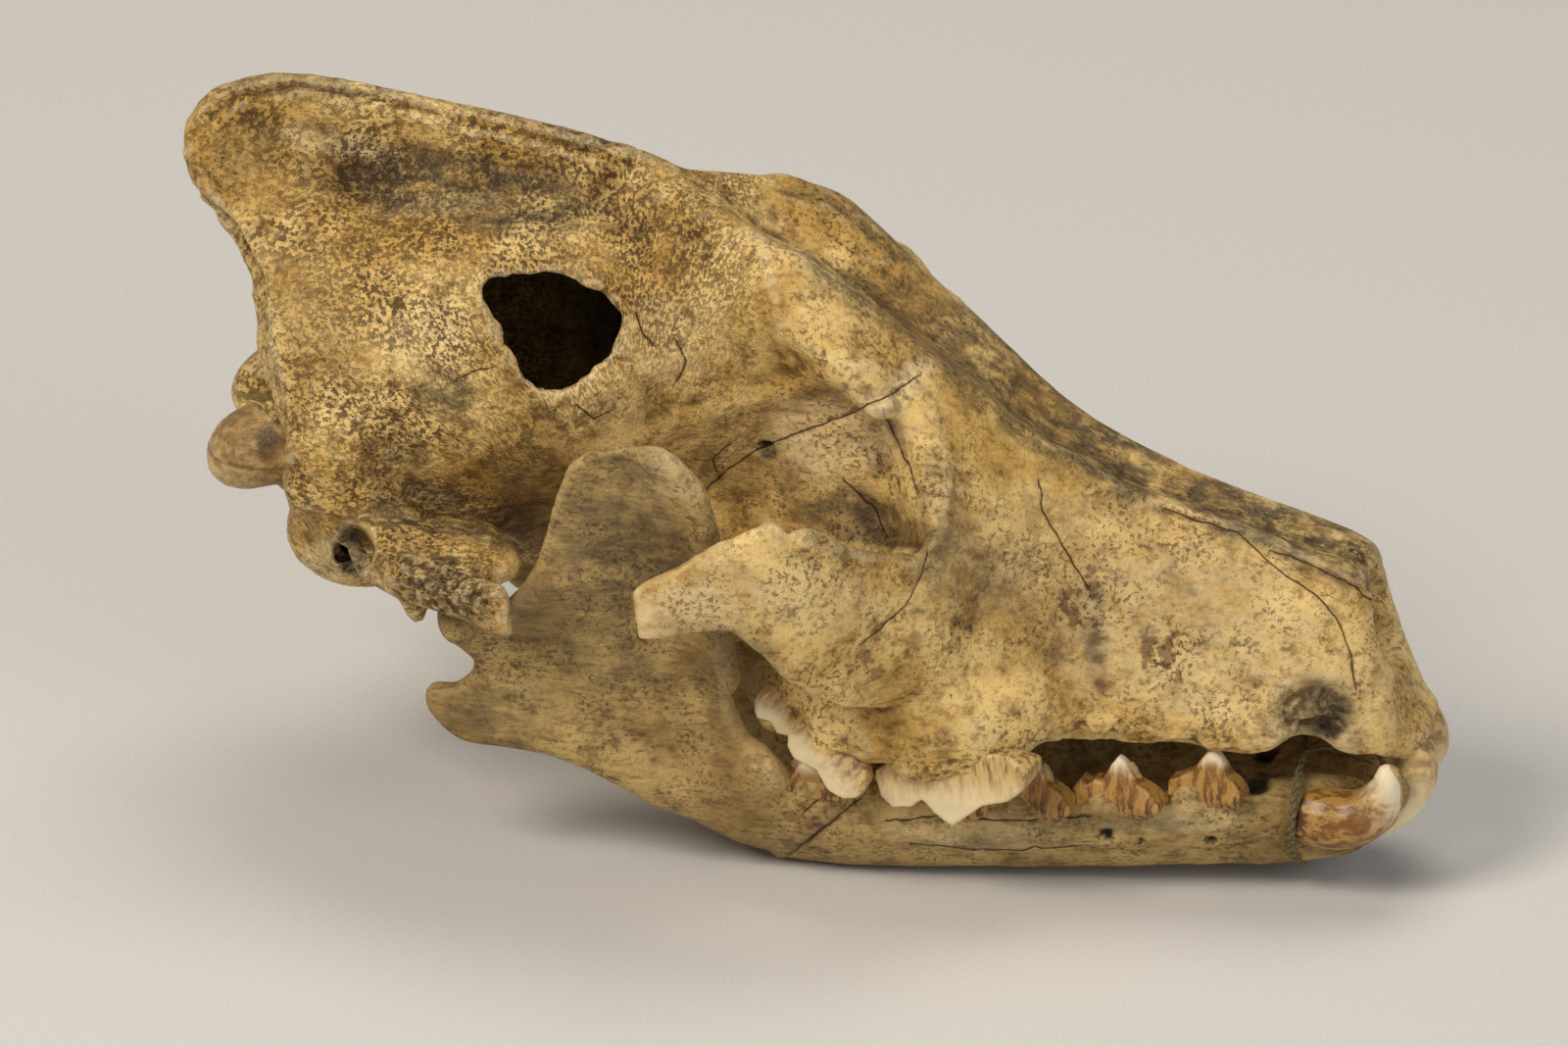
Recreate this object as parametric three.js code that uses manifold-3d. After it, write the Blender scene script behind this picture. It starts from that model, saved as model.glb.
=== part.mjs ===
// A wolf skull with its lower jaw, life size, standing on the lower edge of the jaw.
// Units are millimetres; +X runs to the nose, +Y to the animal's left, +Z up.
// Each bone is a field: a function that is negative inside the bone and grows with
// the distance from its surface. Fields are blended, skinned with triangles and thinned.
import * as THREE from "three";
import Module from "manifold-3d";

const wasm = await Module();
wasm.setup();

// Driving sizes
const CELL = 1.7; // grid of the bones
const TOOTH_CELL = 0.7; // grid of the teeth
const CRANIUM_TRIANGLES = 7600;
const JAW_TRIANGLES = 2200;
const TOOTH_TRIANGLES = 150;
const BRAINCASE_WALL = 3.2;
const HALF_GAP = 0.25; // half the joint between the two jaw halves
const STRETCH = 1.01; // length of the skull against the length drawn in the tables
const RISE = 0.0629; // how much the nose end rises for each millimetre of length
const PITCH = 0.9; // degrees the nose is raised so that the jaw's lower edge lies level
const TWINE_RADIUS = 0.75;
const SWEEP = 0.14; // how far forward a point lies for each millimetre it stands out to the side
const SWEEP_START = 5; // the sweep eases in over this many millimetres from the middle

// Small vector and number helpers
const clamp = (t) => Math.min(1, Math.max(0, t));
const degrees = Math.PI / 180;

// Blends two distances over a width k, so that two shapes flow into each other.
function blend(a, b, k) {
  const h = Math.max(k - Math.abs(a - b), 0) / k;
  return Math.min(a, b) - (h * h * k) / 4;
}

// A shape is {f: distance function, c: centre, r: radius of a ball that holds it}.
function ellipsoid(c, radii, tilt = 0) {
  const cos = Math.cos(tilt * degrees);
  const sin = Math.sin(tilt * degrees);
  const [a, b, h] = radii;
  const f = (x, y, z) => {
    const dx = x - c[0];
    const dz = z - c[2];
    const u = dx * cos + dz * sin;
    const v = y - c[1];
    const w = dz * cos - dx * sin;
    const k0 = Math.hypot(u / a, v / b, w / h);
    const k1 = Math.hypot(u / (a * a), v / (b * b), w / (h * h));
    return k1 < 1e-9 ? -Math.min(a, b, h) : (k0 * (k0 - 1)) / k1;
  };
  return { f, c, r: Math.max(a, b, h) };
}

// A rod with round ends whose radius changes from ra to rb.
function rod(a, b, ra, rb) {
  const d = [b[0] - a[0], b[1] - a[1], b[2] - a[2]];
  const len2 = d[0] * d[0] + d[1] * d[1] + d[2] * d[2];
  const f = (x, y, z) => {
    const t = clamp(((x - a[0]) * d[0] + (y - a[1]) * d[1] + (z - a[2]) * d[2]) / len2);
    return (
      Math.hypot(x - a[0] - d[0] * t, y - a[1] - d[1] * t, z - a[2] - d[2] * t) -
      ra -
      (rb - ra) * t
    );
  };
  const c = [(a[0] + b[0]) / 2, (a[1] + b[1]) / 2, (a[2] + b[2]) / 2];
  return { f, c, r: Math.sqrt(len2) / 2 + Math.max(ra, rb) };
}

// One shape made of several, which barely swells where they meet.
function joined(shapes) {
  const c = [0, 1, 2].map((i) => shapes.reduce((sum, s) => sum + s.c[i], 0) / shapes.length);
  const reach = (s) => Math.hypot(s.c[0] - c[0], s.c[1] - c[1], s.c[2] - c[2]) + s.r;
  const r = Math.max(...shapes.map(reach));
  const f = (x, y, z) => shapes.reduce((d, s) => blend(d, s.f(x, y, z), 0.8), 1e3);
  return { f, c, r };
}

// Rods end to end; each stop is [x, y, z, radius].
function chain(stops) {
  return joined(
    stops.slice(1).map((s, i) => rod(stops[i].slice(0, 3), s.slice(0, 3), stops[i][3], s[3])),
  );
}

// A flat bar from one stop to the next. A stop is [x, y, z, half height, half thickness];
// up is the direction the height is measured in.
function bar(p, q, up = [0, 0, 1]) {
  const a = new THREE.Vector3(...p.slice(0, 3));
  const d = new THREE.Vector3(...q.slice(0, 3)).sub(a);
  const length = d.length();
  d.normalize();
  const u = new THREE.Vector3(...up).addScaledVector(d, -d.dot(new THREE.Vector3(...up))).normalize();
  const s = new THREE.Vector3().crossVectors(d, u);
  const f = (x, y, z) => {
    const px = x - a.x;
    const py = y - a.y;
    const pz = z - a.z;
    const along = px * d.x + py * d.y + pz * d.z;
    const t = clamp(along / length);
    const h = p[3] + (q[3] - p[3]) * t;
    const w = p[4] + (q[4] - p[4]) * t;
    const over = along - t * length;
    const hu = px * u.x + py * u.y + pz * u.z;
    const su = px * s.x + py * s.y + pz * s.z;
    const k0 = Math.hypot(hu / h, su / w, over / w);
    const k1 = Math.hypot(hu / (h * h), su / (w * w), over / (w * w));
    return k1 < 1e-9 ? -Math.min(h, w) : (k0 * (k0 - 1)) / k1;
  };
  const c = [a.x + (d.x * length) / 2, a.y + (d.y * length) / 2, a.z + (d.z * length) / 2];
  return { f, c, r: length / 2 + Math.max(p[3], q[3], p[4], q[4]) };
}

const bars = (stops, up) => joined(stops.slice(1).map((s, i) => bar(stops[i], s, up)));

// Distance in a plane from (u, v) to a closed outline, negative inside.
function outlineDistance(outline, u, v) {
  let best = Infinity;
  let inside = false;
  for (let i = 0, j = outline.length - 1; i < outline.length; j = i++) {
    const [au, av] = outline[j];
    const [bu, bv] = outline[i];
    const eu = bu - au;
    const ev = bv - av;
    const t = clamp(((u - au) * eu + (v - av) * ev) / (eu * eu + ev * ev));
    const du = u - au - eu * t;
    const dv = v - av - ev * t;
    best = Math.min(best, du * du + dv * dv);
    if (av > v !== bv > v && u < ((bu - au) * (v - av)) / (bv - av) + au) inside = !inside;
  }
  return inside ? -Math.sqrt(best) : Math.sqrt(best);
}

// A smooth closed outline through the given corners.
function smoothOutline(corners, steps = 3) {
  const curve = new THREE.CatmullRomCurve3(
    corners.map(([u, v]) => new THREE.Vector3(u, v, 0)),
    true,
    "catmullrom",
    0.5,
  );
  return curve.getPoints(corners.length * steps).slice(0, -1).map((p) => [p.x, p.y]);
}

// A plate that follows an outline in the XZ plane; middle(x, z) is the Y of its mid layer.
function plate(outline, middle, half, edge = 0.8) {
  const smooth = smoothOutline(outline);
  const us = smooth.map((p) => p[0]);
  const vs = smooth.map((p) => p[1]);
  const c = [
    (Math.min(...us) + Math.max(...us)) / 2,
    0,
    (Math.min(...vs) + Math.max(...vs)) / 2,
  ];
  c[1] = middle(c[0], c[2]);
  const f = (x, y, z) => {
    const d = outlineDistance(smooth, x, z) + edge;
    const e = Math.abs(y - middle(x, z)) - half + edge;
    return Math.hypot(Math.max(d, 0), Math.max(e, 0)) + Math.min(Math.max(d, e), 0) - edge;
  };
  const reach = Math.hypot(Math.max(...us) - c[0], Math.max(...vs) - c[2]) + half + 16;
  return { f, c, r: reach };
}

// A body drawn through cross-sections. Each station is [x, [[y, z], ...]], a half outline
// from the middle of the top round to the middle of the bottom.
function loft(stations) {
  const rows = stations[0][1].length;
  const xs = stations.map((s) => s[0]);
  const curves = [];
  for (let i = 0; i < rows; i++)
    curves.push([stations.map((s) => s[1][i][0]), stations.map((s) => s[1][i][1])]);
  const at = (list, x) => {
    let i = 1;
    while (i < xs.length - 1 && xs[i] < x) i++;
    const t = clamp((x - xs[i - 1]) / (xs[i] - xs[i - 1]));
    const slope = (k) => {
      const lo = Math.max(k - 1, 0);
      const hi = Math.min(k + 1, xs.length - 1);
      return (list[hi] - list[lo]) / (xs[hi] - xs[lo]);
    };
    const w = xs[i] - xs[i - 1];
    const t2 = t * t;
    const t3 = t2 * t;
    return (
      (2 * t3 - 3 * t2 + 1) * list[i - 1] +
      (t3 - 2 * t2 + t) * w * slope(i - 1) +
      (3 * t2 - 2 * t3) * list[i] +
      (t3 - t2) * w * slope(i)
    );
  };
  const sections = new Map();
  const section = (x) => {
    const key = Math.round(x * 20);
    let half = sections.get(key);
    if (!half) {
      half = curves.map(([ys, zs]) => [at(ys, x), at(zs, x)]);
      const other = half.slice(1, -1).reverse().map(([y, z]) => [-y, z]);
      half = smoothOutline([...half, ...other], 2);
      sections.set(key, half);
    }
    return half;
  };
  const first = xs[0];
  const last = xs[xs.length - 1];
  const f = (x, y, z) => {
    const d = outlineDistance(section(Math.min(Math.max(x, first), last)), y, z) * 0.9;
    const e = Math.max(first - x, x - last);
    return Math.hypot(Math.max(d, 0), Math.max(e, 0)) + Math.min(Math.max(d, e), 0);
  };
  return { f, c: [(first + last) / 2, 0, 75], r: (last - first) / 2 + 60 };
}

// Both sides of a shape that is given on the left.
function both(shapes) {
  return [shapes].flat().map(({ f, c, r }) => ({
    f: (x, y, z) => f(x, Math.abs(y), z),
    c: [c[0], 0, c[2]],
    r: r + Math.abs(c[1]),
  }));
}

// The field of a list of steps [how, blend width, shapes]; how is "add" or "cut".
function body(steps) {
  const flat = steps.flatMap(([how, k, shapes]) =>
    [shapes].flat().map((s) => ({ cut: how === "cut", k, f: s.f, c: s.c, r: s.r })),
  );
  return (x, y, z) => {
    let d = 1e3;
    for (const s of flat) {
      const far = Math.hypot(x - s.c[0], y - s.c[1], z - s.c[2]) - s.r;
      if (s.cut) {
        if (-far < d - s.k) continue;
        d = -blend(-d, s.f(x, y, z), s.k);
      } else {
        if (far > d + s.k) continue;
        d = blend(d, s.f(x, y, z), s.k);
      }
    }
    return d;
  };
}

// Skins a field with triangles: every grid cell is cut into six tetrahedra, so the skin is closed.
function skin(field, low, high, cell) {
  const n = low.map((v, i) => Math.ceil((high[i] - v) / cell) + 1);
  const stride = [1, n[0], n[0] * n[1]];
  const values = new Float32Array(n[0] * n[1] * n[2]);
  for (let k = 0, at = 0; k < n[2]; k++)
    for (let j = 0; j < n[1]; j++)
      for (let i = 0; i < n[0]; i++, at++) {
        const rim = !i || !j || !k || i === n[0] - 1 || j === n[1] - 1 || k === n[2] - 1;
        const v = field(low[0] + i * cell, low[1] + j * cell, low[2] + k * cell);
        values[at] = rim ? Math.max(v, 0.5) : Math.abs(v) < 1e-3 ? 1e-3 : v;
      }
  const paths = [
    [1, 3],
    [5, 1],
    [3, 2],
    [2, 6],
    [4, 5],
    [6, 4],
  ]; // corner numbers hold X in bit 0, Y in bit 1, Z in bit 2
  const even = [
    [0, 1, 2, 3],
    [1, 0, 3, 2],
    [2, 3, 0, 1],
    [3, 2, 1, 0],
  ];
  const pairs = [
    [0, 1, 2, 3],
    [0, 2, 3, 1],
    [0, 3, 1, 2],
    [1, 2, 0, 3],
    [1, 3, 2, 0],
    [2, 3, 0, 1],
  ];
  const offset = (corner) =>
    (corner & 1) * stride[0] + ((corner >> 1) & 1) * stride[1] + ((corner >> 2) & 1) * stride[2];
  const points = [];
  const made = new Map();
  const faces = [];
  const place = (index) => [
    low[0] + (index % n[0]) * cell,
    low[1] + (Math.floor(index / n[0]) % n[1]) * cell,
    low[2] + Math.floor(index / stride[2]) * cell,
  ];
  const vertex = (p, q) => {
    const lo = Math.min(p, q);
    const hi = Math.max(p, q);
    const key = lo * 2 ** 25 + (hi - lo);
    let id = made.get(key);
    if (id === undefined) {
      const t = values[lo] / (values[lo] - values[hi]);
      const a = place(lo);
      const b = place(hi);
      id = points.length / 3;
      points.push(a[0] + (b[0] - a[0]) * t, a[1] + (b[1] - a[1]) * t, a[2] + (b[2] - a[2]) * t);
      made.set(key, id);
    }
    return id;
  };
  for (let k = 0; k < n[2] - 1; k++)
    for (let j = 0; j < n[1] - 1; j++)
      for (let i = 0; i < n[0] - 1; i++) {
        const base = i + j * stride[1] + k * stride[2];
        let mask = 0;
        for (let c = 0; c < 8; c++) if (values[base + offset(c)] < 0) mask |= 1 << c;
        if (mask === 0 || mask === 255) continue;
        for (const [a, b] of paths) {
          const tet = [base, base + offset(a), base + offset(b), base + offset(7)];
          const inner = tet.map((t) => values[t] < 0);
          const count = inner.filter(Boolean).length;
          if (count === 1 || count === 3) {
            const odd = inner.indexOf(count === 1);
            const [p, q, r, s] = even[odd].map((e) => tet[e]);
            const three = [vertex(p, q), vertex(p, r), vertex(p, s)];
            if (count === 3) three.reverse();
            faces.push(...three);
          } else if (count === 2) {
            const order = pairs.find((o) => inner[o[0]] && inner[o[1]]);
            const [p, q, r, s] = order.map((e) => tet[e]);
            const corner = [vertex(p, r), vertex(p, s), vertex(q, s), vertex(q, r)];
            faces.push(corner[0], corner[1], corner[2], corner[0], corner[2], corner[3]);
          }
        }
      }
  return { points, faces };
}

// Thins a closed skin to a number of triangles by folding up the edges that matter least.
function thin({ points, faces }, target) {
  const count = points.length / 3;
  const pos = Float64Array.from(points);
  const tri = Int32Array.from(faces);
  const alive = new Uint8Array(tri.length / 3).fill(1);
  const around = Array.from({ length: count }, () => []);
  const quad = new Float64Array(count * 10);
  const stamp = new Int32Array(count);
  const normal = (a, b, c) => {
    const ux = pos[b * 3] - pos[a * 3];
    const uy = pos[b * 3 + 1] - pos[a * 3 + 1];
    const uz = pos[b * 3 + 2] - pos[a * 3 + 2];
    const vx = pos[c * 3] - pos[a * 3];
    const vy = pos[c * 3 + 1] - pos[a * 3 + 1];
    const vz = pos[c * 3 + 2] - pos[a * 3 + 2];
    return [uy * vz - uz * vy, uz * vx - ux * vz, ux * vy - uy * vx];
  };
  for (let f = 0; f < alive.length; f++) {
    const [a, b, c] = [tri[f * 3], tri[f * 3 + 1], tri[f * 3 + 2]];
    const [nx, ny, nz] = normal(a, b, c);
    const len = Math.hypot(nx, ny, nz);
    for (const v of [a, b, c]) around[v].push(f);
    if (len < 1e-9) continue;
    const [x, y, z] = [nx / len, ny / len, nz / len];
    const w = -(x * pos[a * 3] + y * pos[a * 3 + 1] + z * pos[a * 3 + 2]);
    const q = [x * x, x * y, x * z, x * w, y * y, y * z, y * w, z * z, z * w, w * w];
    for (const v of [a, b, c]) for (let i = 0; i < 10; i++) quad[v * 10 + i] += q[i] * len;
  }
  const heap = [];
  const swap = (i, j) => {
    const t = heap[i];
    heap[i] = heap[j];
    heap[j] = t;
  };
  const push = (e) => {
    let i = heap.push(e) - 1;
    while (i > 0) {
      const up = (i - 1) >> 1;
      if (heap[up].cost <= heap[i].cost) break;
      swap(i, up);
      i = up;
    }
  };
  const pop = () => {
    const top = heap[0];
    const last = heap.pop();
    if (heap.length) {
      heap[0] = last;
      for (let i = 0; ; ) {
        let next = 2 * i + 1;
        if (next >= heap.length) break;
        if (next + 1 < heap.length && heap[next + 1].cost < heap[next].cost) next++;
        if (heap[i].cost <= heap[next].cost) break;
        swap(i, next);
        i = next;
      }
    }
    return top;
  };
  const error = (q, x, y, z) =>
    q[0] * x * x + 2 * q[1] * x * y + 2 * q[2] * x * z + 2 * q[3] * x + q[4] * y * y +
    2 * q[5] * y * z + 2 * q[6] * y + q[7] * z * z + 2 * q[8] * z + q[9];
  const propose = (a, b) => {
    const q = new Float64Array(10);
    for (let i = 0; i < 10; i++) q[i] = quad[a * 10 + i] + quad[b * 10 + i];
    const mid = [0, 1, 2].map((i) => (pos[a * 3 + i] + pos[b * 3 + i]) / 2);
    let best = mid;
    const det =
      q[0] * (q[4] * q[7] - q[5] * q[5]) -
      q[1] * (q[1] * q[7] - q[5] * q[2]) +
      q[2] * (q[1] * q[5] - q[4] * q[2]);
    const size = q[0] + q[4] + q[7];
    if (Math.abs(det) > 1e-4 * size ** 3) {
      const [rx, ry, rz] = [-q[3], -q[6], -q[8]];
      const x =
        (rx * (q[4] * q[7] - q[5] * q[5]) -
          q[1] * (ry * q[7] - q[5] * rz) +
          q[2] * (ry * q[5] - q[4] * rz)) / det;
      const y =
        (q[0] * (ry * q[7] - rz * q[5]) -
          rx * (q[1] * q[7] - q[5] * q[2]) +
          q[2] * (q[1] * rz - ry * q[2])) / det;
      const z =
        (q[0] * (q[4] * rz - q[5] * ry) -
          q[1] * (q[1] * rz - ry * q[2]) +
          rx * (q[1] * q[5] - q[4] * q[2])) / det;
      const far = Math.hypot(x - mid[0], y - mid[1], z - mid[2]);
      const edge = Math.hypot(
        pos[a * 3] - pos[b * 3],
        pos[a * 3 + 1] - pos[b * 3 + 1],
        pos[a * 3 + 2] - pos[b * 3 + 2],
      );
      if (far < edge) best = [x, y, z];
    }
    const edge2 =
      (pos[a * 3] - pos[b * 3]) ** 2 +
      (pos[a * 3 + 1] - pos[b * 3 + 1]) ** 2 +
      (pos[a * 3 + 2] - pos[b * 3 + 2]) ** 2;
    const cost = Math.max(error(q, ...best), 0) + 1e-3 * edge2;
    push({ cost, a, b, sa: stamp[a], sb: stamp[b], best });
  };
  const neighbours = (v) => {
    const out = new Set();
    for (const f of around[v])
      if (alive[f]) for (let i = 0; i < 3; i++) if (tri[f * 3 + i] !== v) out.add(tri[f * 3 + i]);
    return out;
  };
  for (let v = 0; v < count; v++) for (const w of neighbours(v)) if (w > v) propose(v, w);
  let left = alive.length;
  const flips = (v, other, best) => {
    for (const f of around[v]) {
      if (!alive[f]) continue;
      const corner = [tri[f * 3], tri[f * 3 + 1], tri[f * 3 + 2]];
      if (corner.includes(other)) continue;
      const before = normal(...corner);
      const keep = [pos[v * 3], pos[v * 3 + 1], pos[v * 3 + 2]];
      [pos[v * 3], pos[v * 3 + 1], pos[v * 3 + 2]] = best;
      const after = normal(...corner);
      [pos[v * 3], pos[v * 3 + 1], pos[v * 3 + 2]] = keep;
      const dot = before[0] * after[0] + before[1] * after[1] + before[2] * after[2];
      const scale = Math.hypot(...before) * Math.hypot(...after);
      if (dot < 0.6 * scale || Math.hypot(...after) < 1e-4) return true;
    }
    return false;
  };
  while (left > target && heap.length) {
    const { a, b, sa, sb, best } = pop();
    if (stamp[a] !== sa || stamp[b] !== sb || sa < 0 || sb < 0) continue;
    const na = neighbours(a);
    const nb = neighbours(b);
    let shared = 0;
    for (const v of na) if (nb.has(v)) shared++;
    if (shared !== 2 || na.size + nb.size < 9) continue;
    if (flips(a, b, best) || flips(b, a, best)) continue;
    [pos[a * 3], pos[a * 3 + 1], pos[a * 3 + 2]] = best;
    for (let i = 0; i < 10; i++) quad[a * 10 + i] += quad[b * 10 + i];
    for (const f of around[b]) {
      if (!alive[f]) continue;
      const corner = [tri[f * 3], tri[f * 3 + 1], tri[f * 3 + 2]];
      if (corner.includes(a)) {
        alive[f] = 0;
        left--;
      } else {
        tri[f * 3 + corner.indexOf(b)] = a;
        around[a].push(f);
      }
    }
    around[a] = around[a].filter((f) => alive[f]);
    around[b] = [];
    stamp[a]++;
    stamp[b] = -1;
    for (const v of neighbours(a)) propose(a, v);
  }
  const renumber = new Map();
  const outPoints = [];
  const outFaces = [];
  for (let f = 0; f < alive.length; f++) {
    if (!alive[f]) continue;
    for (let i = 0; i < 3; i++) {
      const v = tri[f * 3 + i];
      if (!renumber.has(v)) {
        renumber.set(v, outPoints.length / 3);
        outPoints.push(pos[v * 3], pos[v * 3 + 1], pos[v * 3 + 2]);
      }
      outFaces.push(renumber.get(v));
    }
  }
  return { points: outPoints, faces: outFaces };
}

const solidOf = ({ points, faces }) =>
  new wasm.Manifold(
    new wasm.Mesh({
      numProp: 3,
      vertProperties: Float32Array.from(points),
      triVerts: Uint32Array.from(faces),
    }),
  );

// The largest closed body of a solid.
const largest = (solid) =>
  solid.decompose().reduce((a, b) => (b.volume() > a.volume() ? b : a));

const carve = (field, low, high, cell, triangles) =>
  largest(solidOf(thin(skin(field, low, high, cell), triangles)));

// The cranium, right side = -Y. Shapes in both() are given on the left.
// Cross-sections of the face from the narrow part behind the brow to the front teeth.
const FACE = [
  [90, [
    [0, 128], [5, 128.4], [9, 122.6], [13, 112], [15, 103],
    [14, 92], [11, 80], [9, 68], [8, 60], [0, 60],
  ]],
  [99, [
    [0, 126.6], [8, 128.4], [15, 124.4], [20, 114.6], [20.5, 104],
    [19, 90], [14, 78], [12, 66], [11, 58], [0, 58],
  ]],
  [108, [
    [0, 121.5], [11, 127], [18.6, 125.4], [23.6, 115.6], [21, 104],
    [19.5, 90], [17, 78], [16, 66], [16, 54], [0, 52],
  ]],
  [116, [
    [0, 117], [12, 124.4], [20.6, 122.6], [26.5, 112], [21, 100],
    [19.5, 88], [19, 76], [20, 62], [24, 48], [0, 43],
  ]],
  [124, [
    [0, 112.5], [13, 118.6], [21, 115.4], [27.6, 105], [21.5, 97],
    [20.5, 86], [21, 74], [25, 60], [30, 42], [0, 42],
  ]],
  [132, [
    [0, 107], [12.5, 111.4], [20.5, 107.4], [27.4, 99.4], [23.5, 93.6],
    [21.5, 84], [24, 72], [31, 58], [36, 36], [0, 41.5],
  ]],
  [140, [
    [0, 102], [12, 105.2], [19, 101.6], [26.5, 95.6], [30.5, 90],
    [34, 82], [37, 72], [37.5, 58], [38.4, 32], [0, 41],
  ]],
  [148, [
    [0, 96], [10.5, 98.2], [17, 94.8], [24, 88.4], [29, 81.8],
    [32.5, 74], [35, 65], [37, 52], [37.6, 31], [0, 40],
  ]],
  [163, [
    [0, 83.4], [8.5, 85.8], [14, 83], [19, 76.6], [23, 68.6],
    [25.5, 60], [28, 51], [29.5, 42], [29.5, 30], [0, 38.5],
  ]],
  [177, [
    [0, 75], [7.8, 77.2], [12.5, 74.6], [17, 68.6], [20, 61.4],
    [22.5, 54], [24.5, 46], [26, 38], [26, 28.5], [0, 36.5],
  ]],
  [195, [
    [0, 68.8], [7.3, 70], [11.3, 67.4], [15, 62], [18, 55.6],
    [20, 49], [21.5, 41], [23, 34], [22.5, 26.5], [0, 34],
  ]],
  [213, [
    [0, 61.8], [6.8, 63.4], [10.8, 61.2], [14.5, 56], [17.5, 50],
    [20, 43], [22, 37], [22.5, 32], [21.5, 26], [0, 32],
  ]],
  [223, [
    [0, 58.4], [5.6, 60], [9, 57.4], [12.5, 51.6], [15, 45.6],
    [16.5, 40], [17, 34], [17, 29], [16, 24], [0, 29],
  ]],
  [228, [
    [0, 43.2], [4.8, 44], [7.6, 42.8], [10.2, 39.6], [12.6, 36.6],
    [14, 34.4], [14.8, 32], [15, 29], [14, 22.6], [0, 27],
  ]],
  [233, [
    [0, 29.8], [4, 30.4], [6.6, 29.8], [8.8, 28.6], [10.4, 27.4],
    [11.2, 26.2], [11.6, 25], [11.2, 23], [9.6, 20.4], [0, 22.4],
  ]],
  [236.2, [
    [0, 26.8], [3, 27.4], [5, 27.2], [6.4, 26.8], [7.2, 26.2],
    [7.6, 25.4], [7.6, 24.2], [7.2, 22.4], [6, 20], [0, 21],
  ]],
];
// Upper edge of the sagittal crest, then back along its root inside the braincase.
const CREST = [
  [-3.2, 140], [-1.4, 145.8], [4, 150], [12, 152.2], [23, 151.8], [36, 149.2], [49, 146.4], [62, 143.8],
  [73, 141.2], [84, 137], [94, 130.8], [102, 122.4], [96, 112], [60, 118], [28, 118], [16, 106],
  [7, 117], [0, 129],
];
// The arch of the cheek, [x, y, z, half height, half thickness], from the eye to the ear.
const ARCH = [
  [140, 37, 59, 16, 6], [131, 46, 61, 16, 4.4], [122.5, 53, 66, 14.8, 3.8], [116, 57.5, 72.5, 13.2, 3.4],
  [111, 60.5, 77.5, 12.6, 3.2], [104, 62.5, 77.4, 9.8, 3.2], [94, 64.2, 74, 7, 3], [85, 65, 71.6, 5.8, 3],
  [75, 65.3, 70, 6.6, 3], [62, 62, 69.8, 5.4, 3.2], [52, 56.5, 70.6, 4.4, 4.2], [43, 49, 71.2, 4, 5.6],
  [36, 40, 72.4, 4.6, 7], [32, 32, 76, 7, 7],
];
// Rear crest of the skull, [x, y, z, half depth, half thickness].
const NUCHAL = [
  [9, 0, 138, 8, 2.6], [13, 5, 131.5, 9, 2.4], [19.2, 12, 126.5, 10, 2.4], [23.4, 19, 119, 10.5, 2.4],
  [26, 25, 112, 10.5, 2.4], [26.6, 32, 102, 8.6, 2.6], [25.8, 36, 93.5, 6, 3], [25.6, 37.6, 85, 4.8, 3],
];
const PTERYGOID = [
  [60, 66], [66, 59], [78, 50], [88, 43.5], [97, 43], [108, 40], [116, 41], [116, 60], [98, 74], [70, 76],
];
// Outline of the hole broken in the right wall of the braincase: [x, z - HOLE_SLOPE * y].
const HOLE_SLOPE = -0.445;
const HOLE = [
  [55.4, 110.4], [58.2, 111.9], [66.5, 113.1], [71.2, 112.2], [73.6, 109.9], [77.8, 108.4], [81.2, 104],
  [81.1, 98.9], [77.2, 94.7], [75.4, 91.6], [69, 88], [66.1, 89.3], [62.3, 93.3], [59.4, 98.3],
  [57.5, 103.3],
  [55.3, 107.3],
];
const FORAMEN = { at: [4, 0, 83.5], radii: [30, 10.5, 8.5] };

const braincase = [
  ["add", 1, ellipsoid([57, 0, 97], [43.5, 31, 35.5], -8)],
  ["add", 10, both(ellipsoid([46, 9, 94], [34, 24.5, 29], -8))],
  ["add", 14, ellipsoid([88, 0, 98], [27, 19.5, 23], -15)],
];
const inside = body(braincase);
const hollow = {
  f: (x, y, z) => Math.max(inside(x, y, z) + BRAINCASE_WALL, 65.5 - z + 0.14 * (45 - x)),
  c: [55, 0, 95],
  r: 60,
};
const holeOutline = smoothOutline(HOLE, 1);
const hole = {
  f: (x, y, z) => Math.max(outlineDistance(holeOutline, x, z - HOLE_SLOPE * y), Math.abs(y + 27) - 18),
  c: [68, -27, 115],
  r: 34,
};
const hindbrain = ellipsoid([25.5, 0, 94], [14, 24.5, 21], -8);
const missing = {
  // the stretch of the right cheek arch that is broken away
  f: (x, y, z) =>
    Math.max(
      Math.abs(x - 73.6 + 0.12 * (z - 70)) - 11.7 - 0.35 * Math.sin(z * 1.3),
      y + 48,
      Math.abs(z - 70) - 20,
    ),
  c: [73.5, -65, 70],
  r: 30,
};

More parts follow.
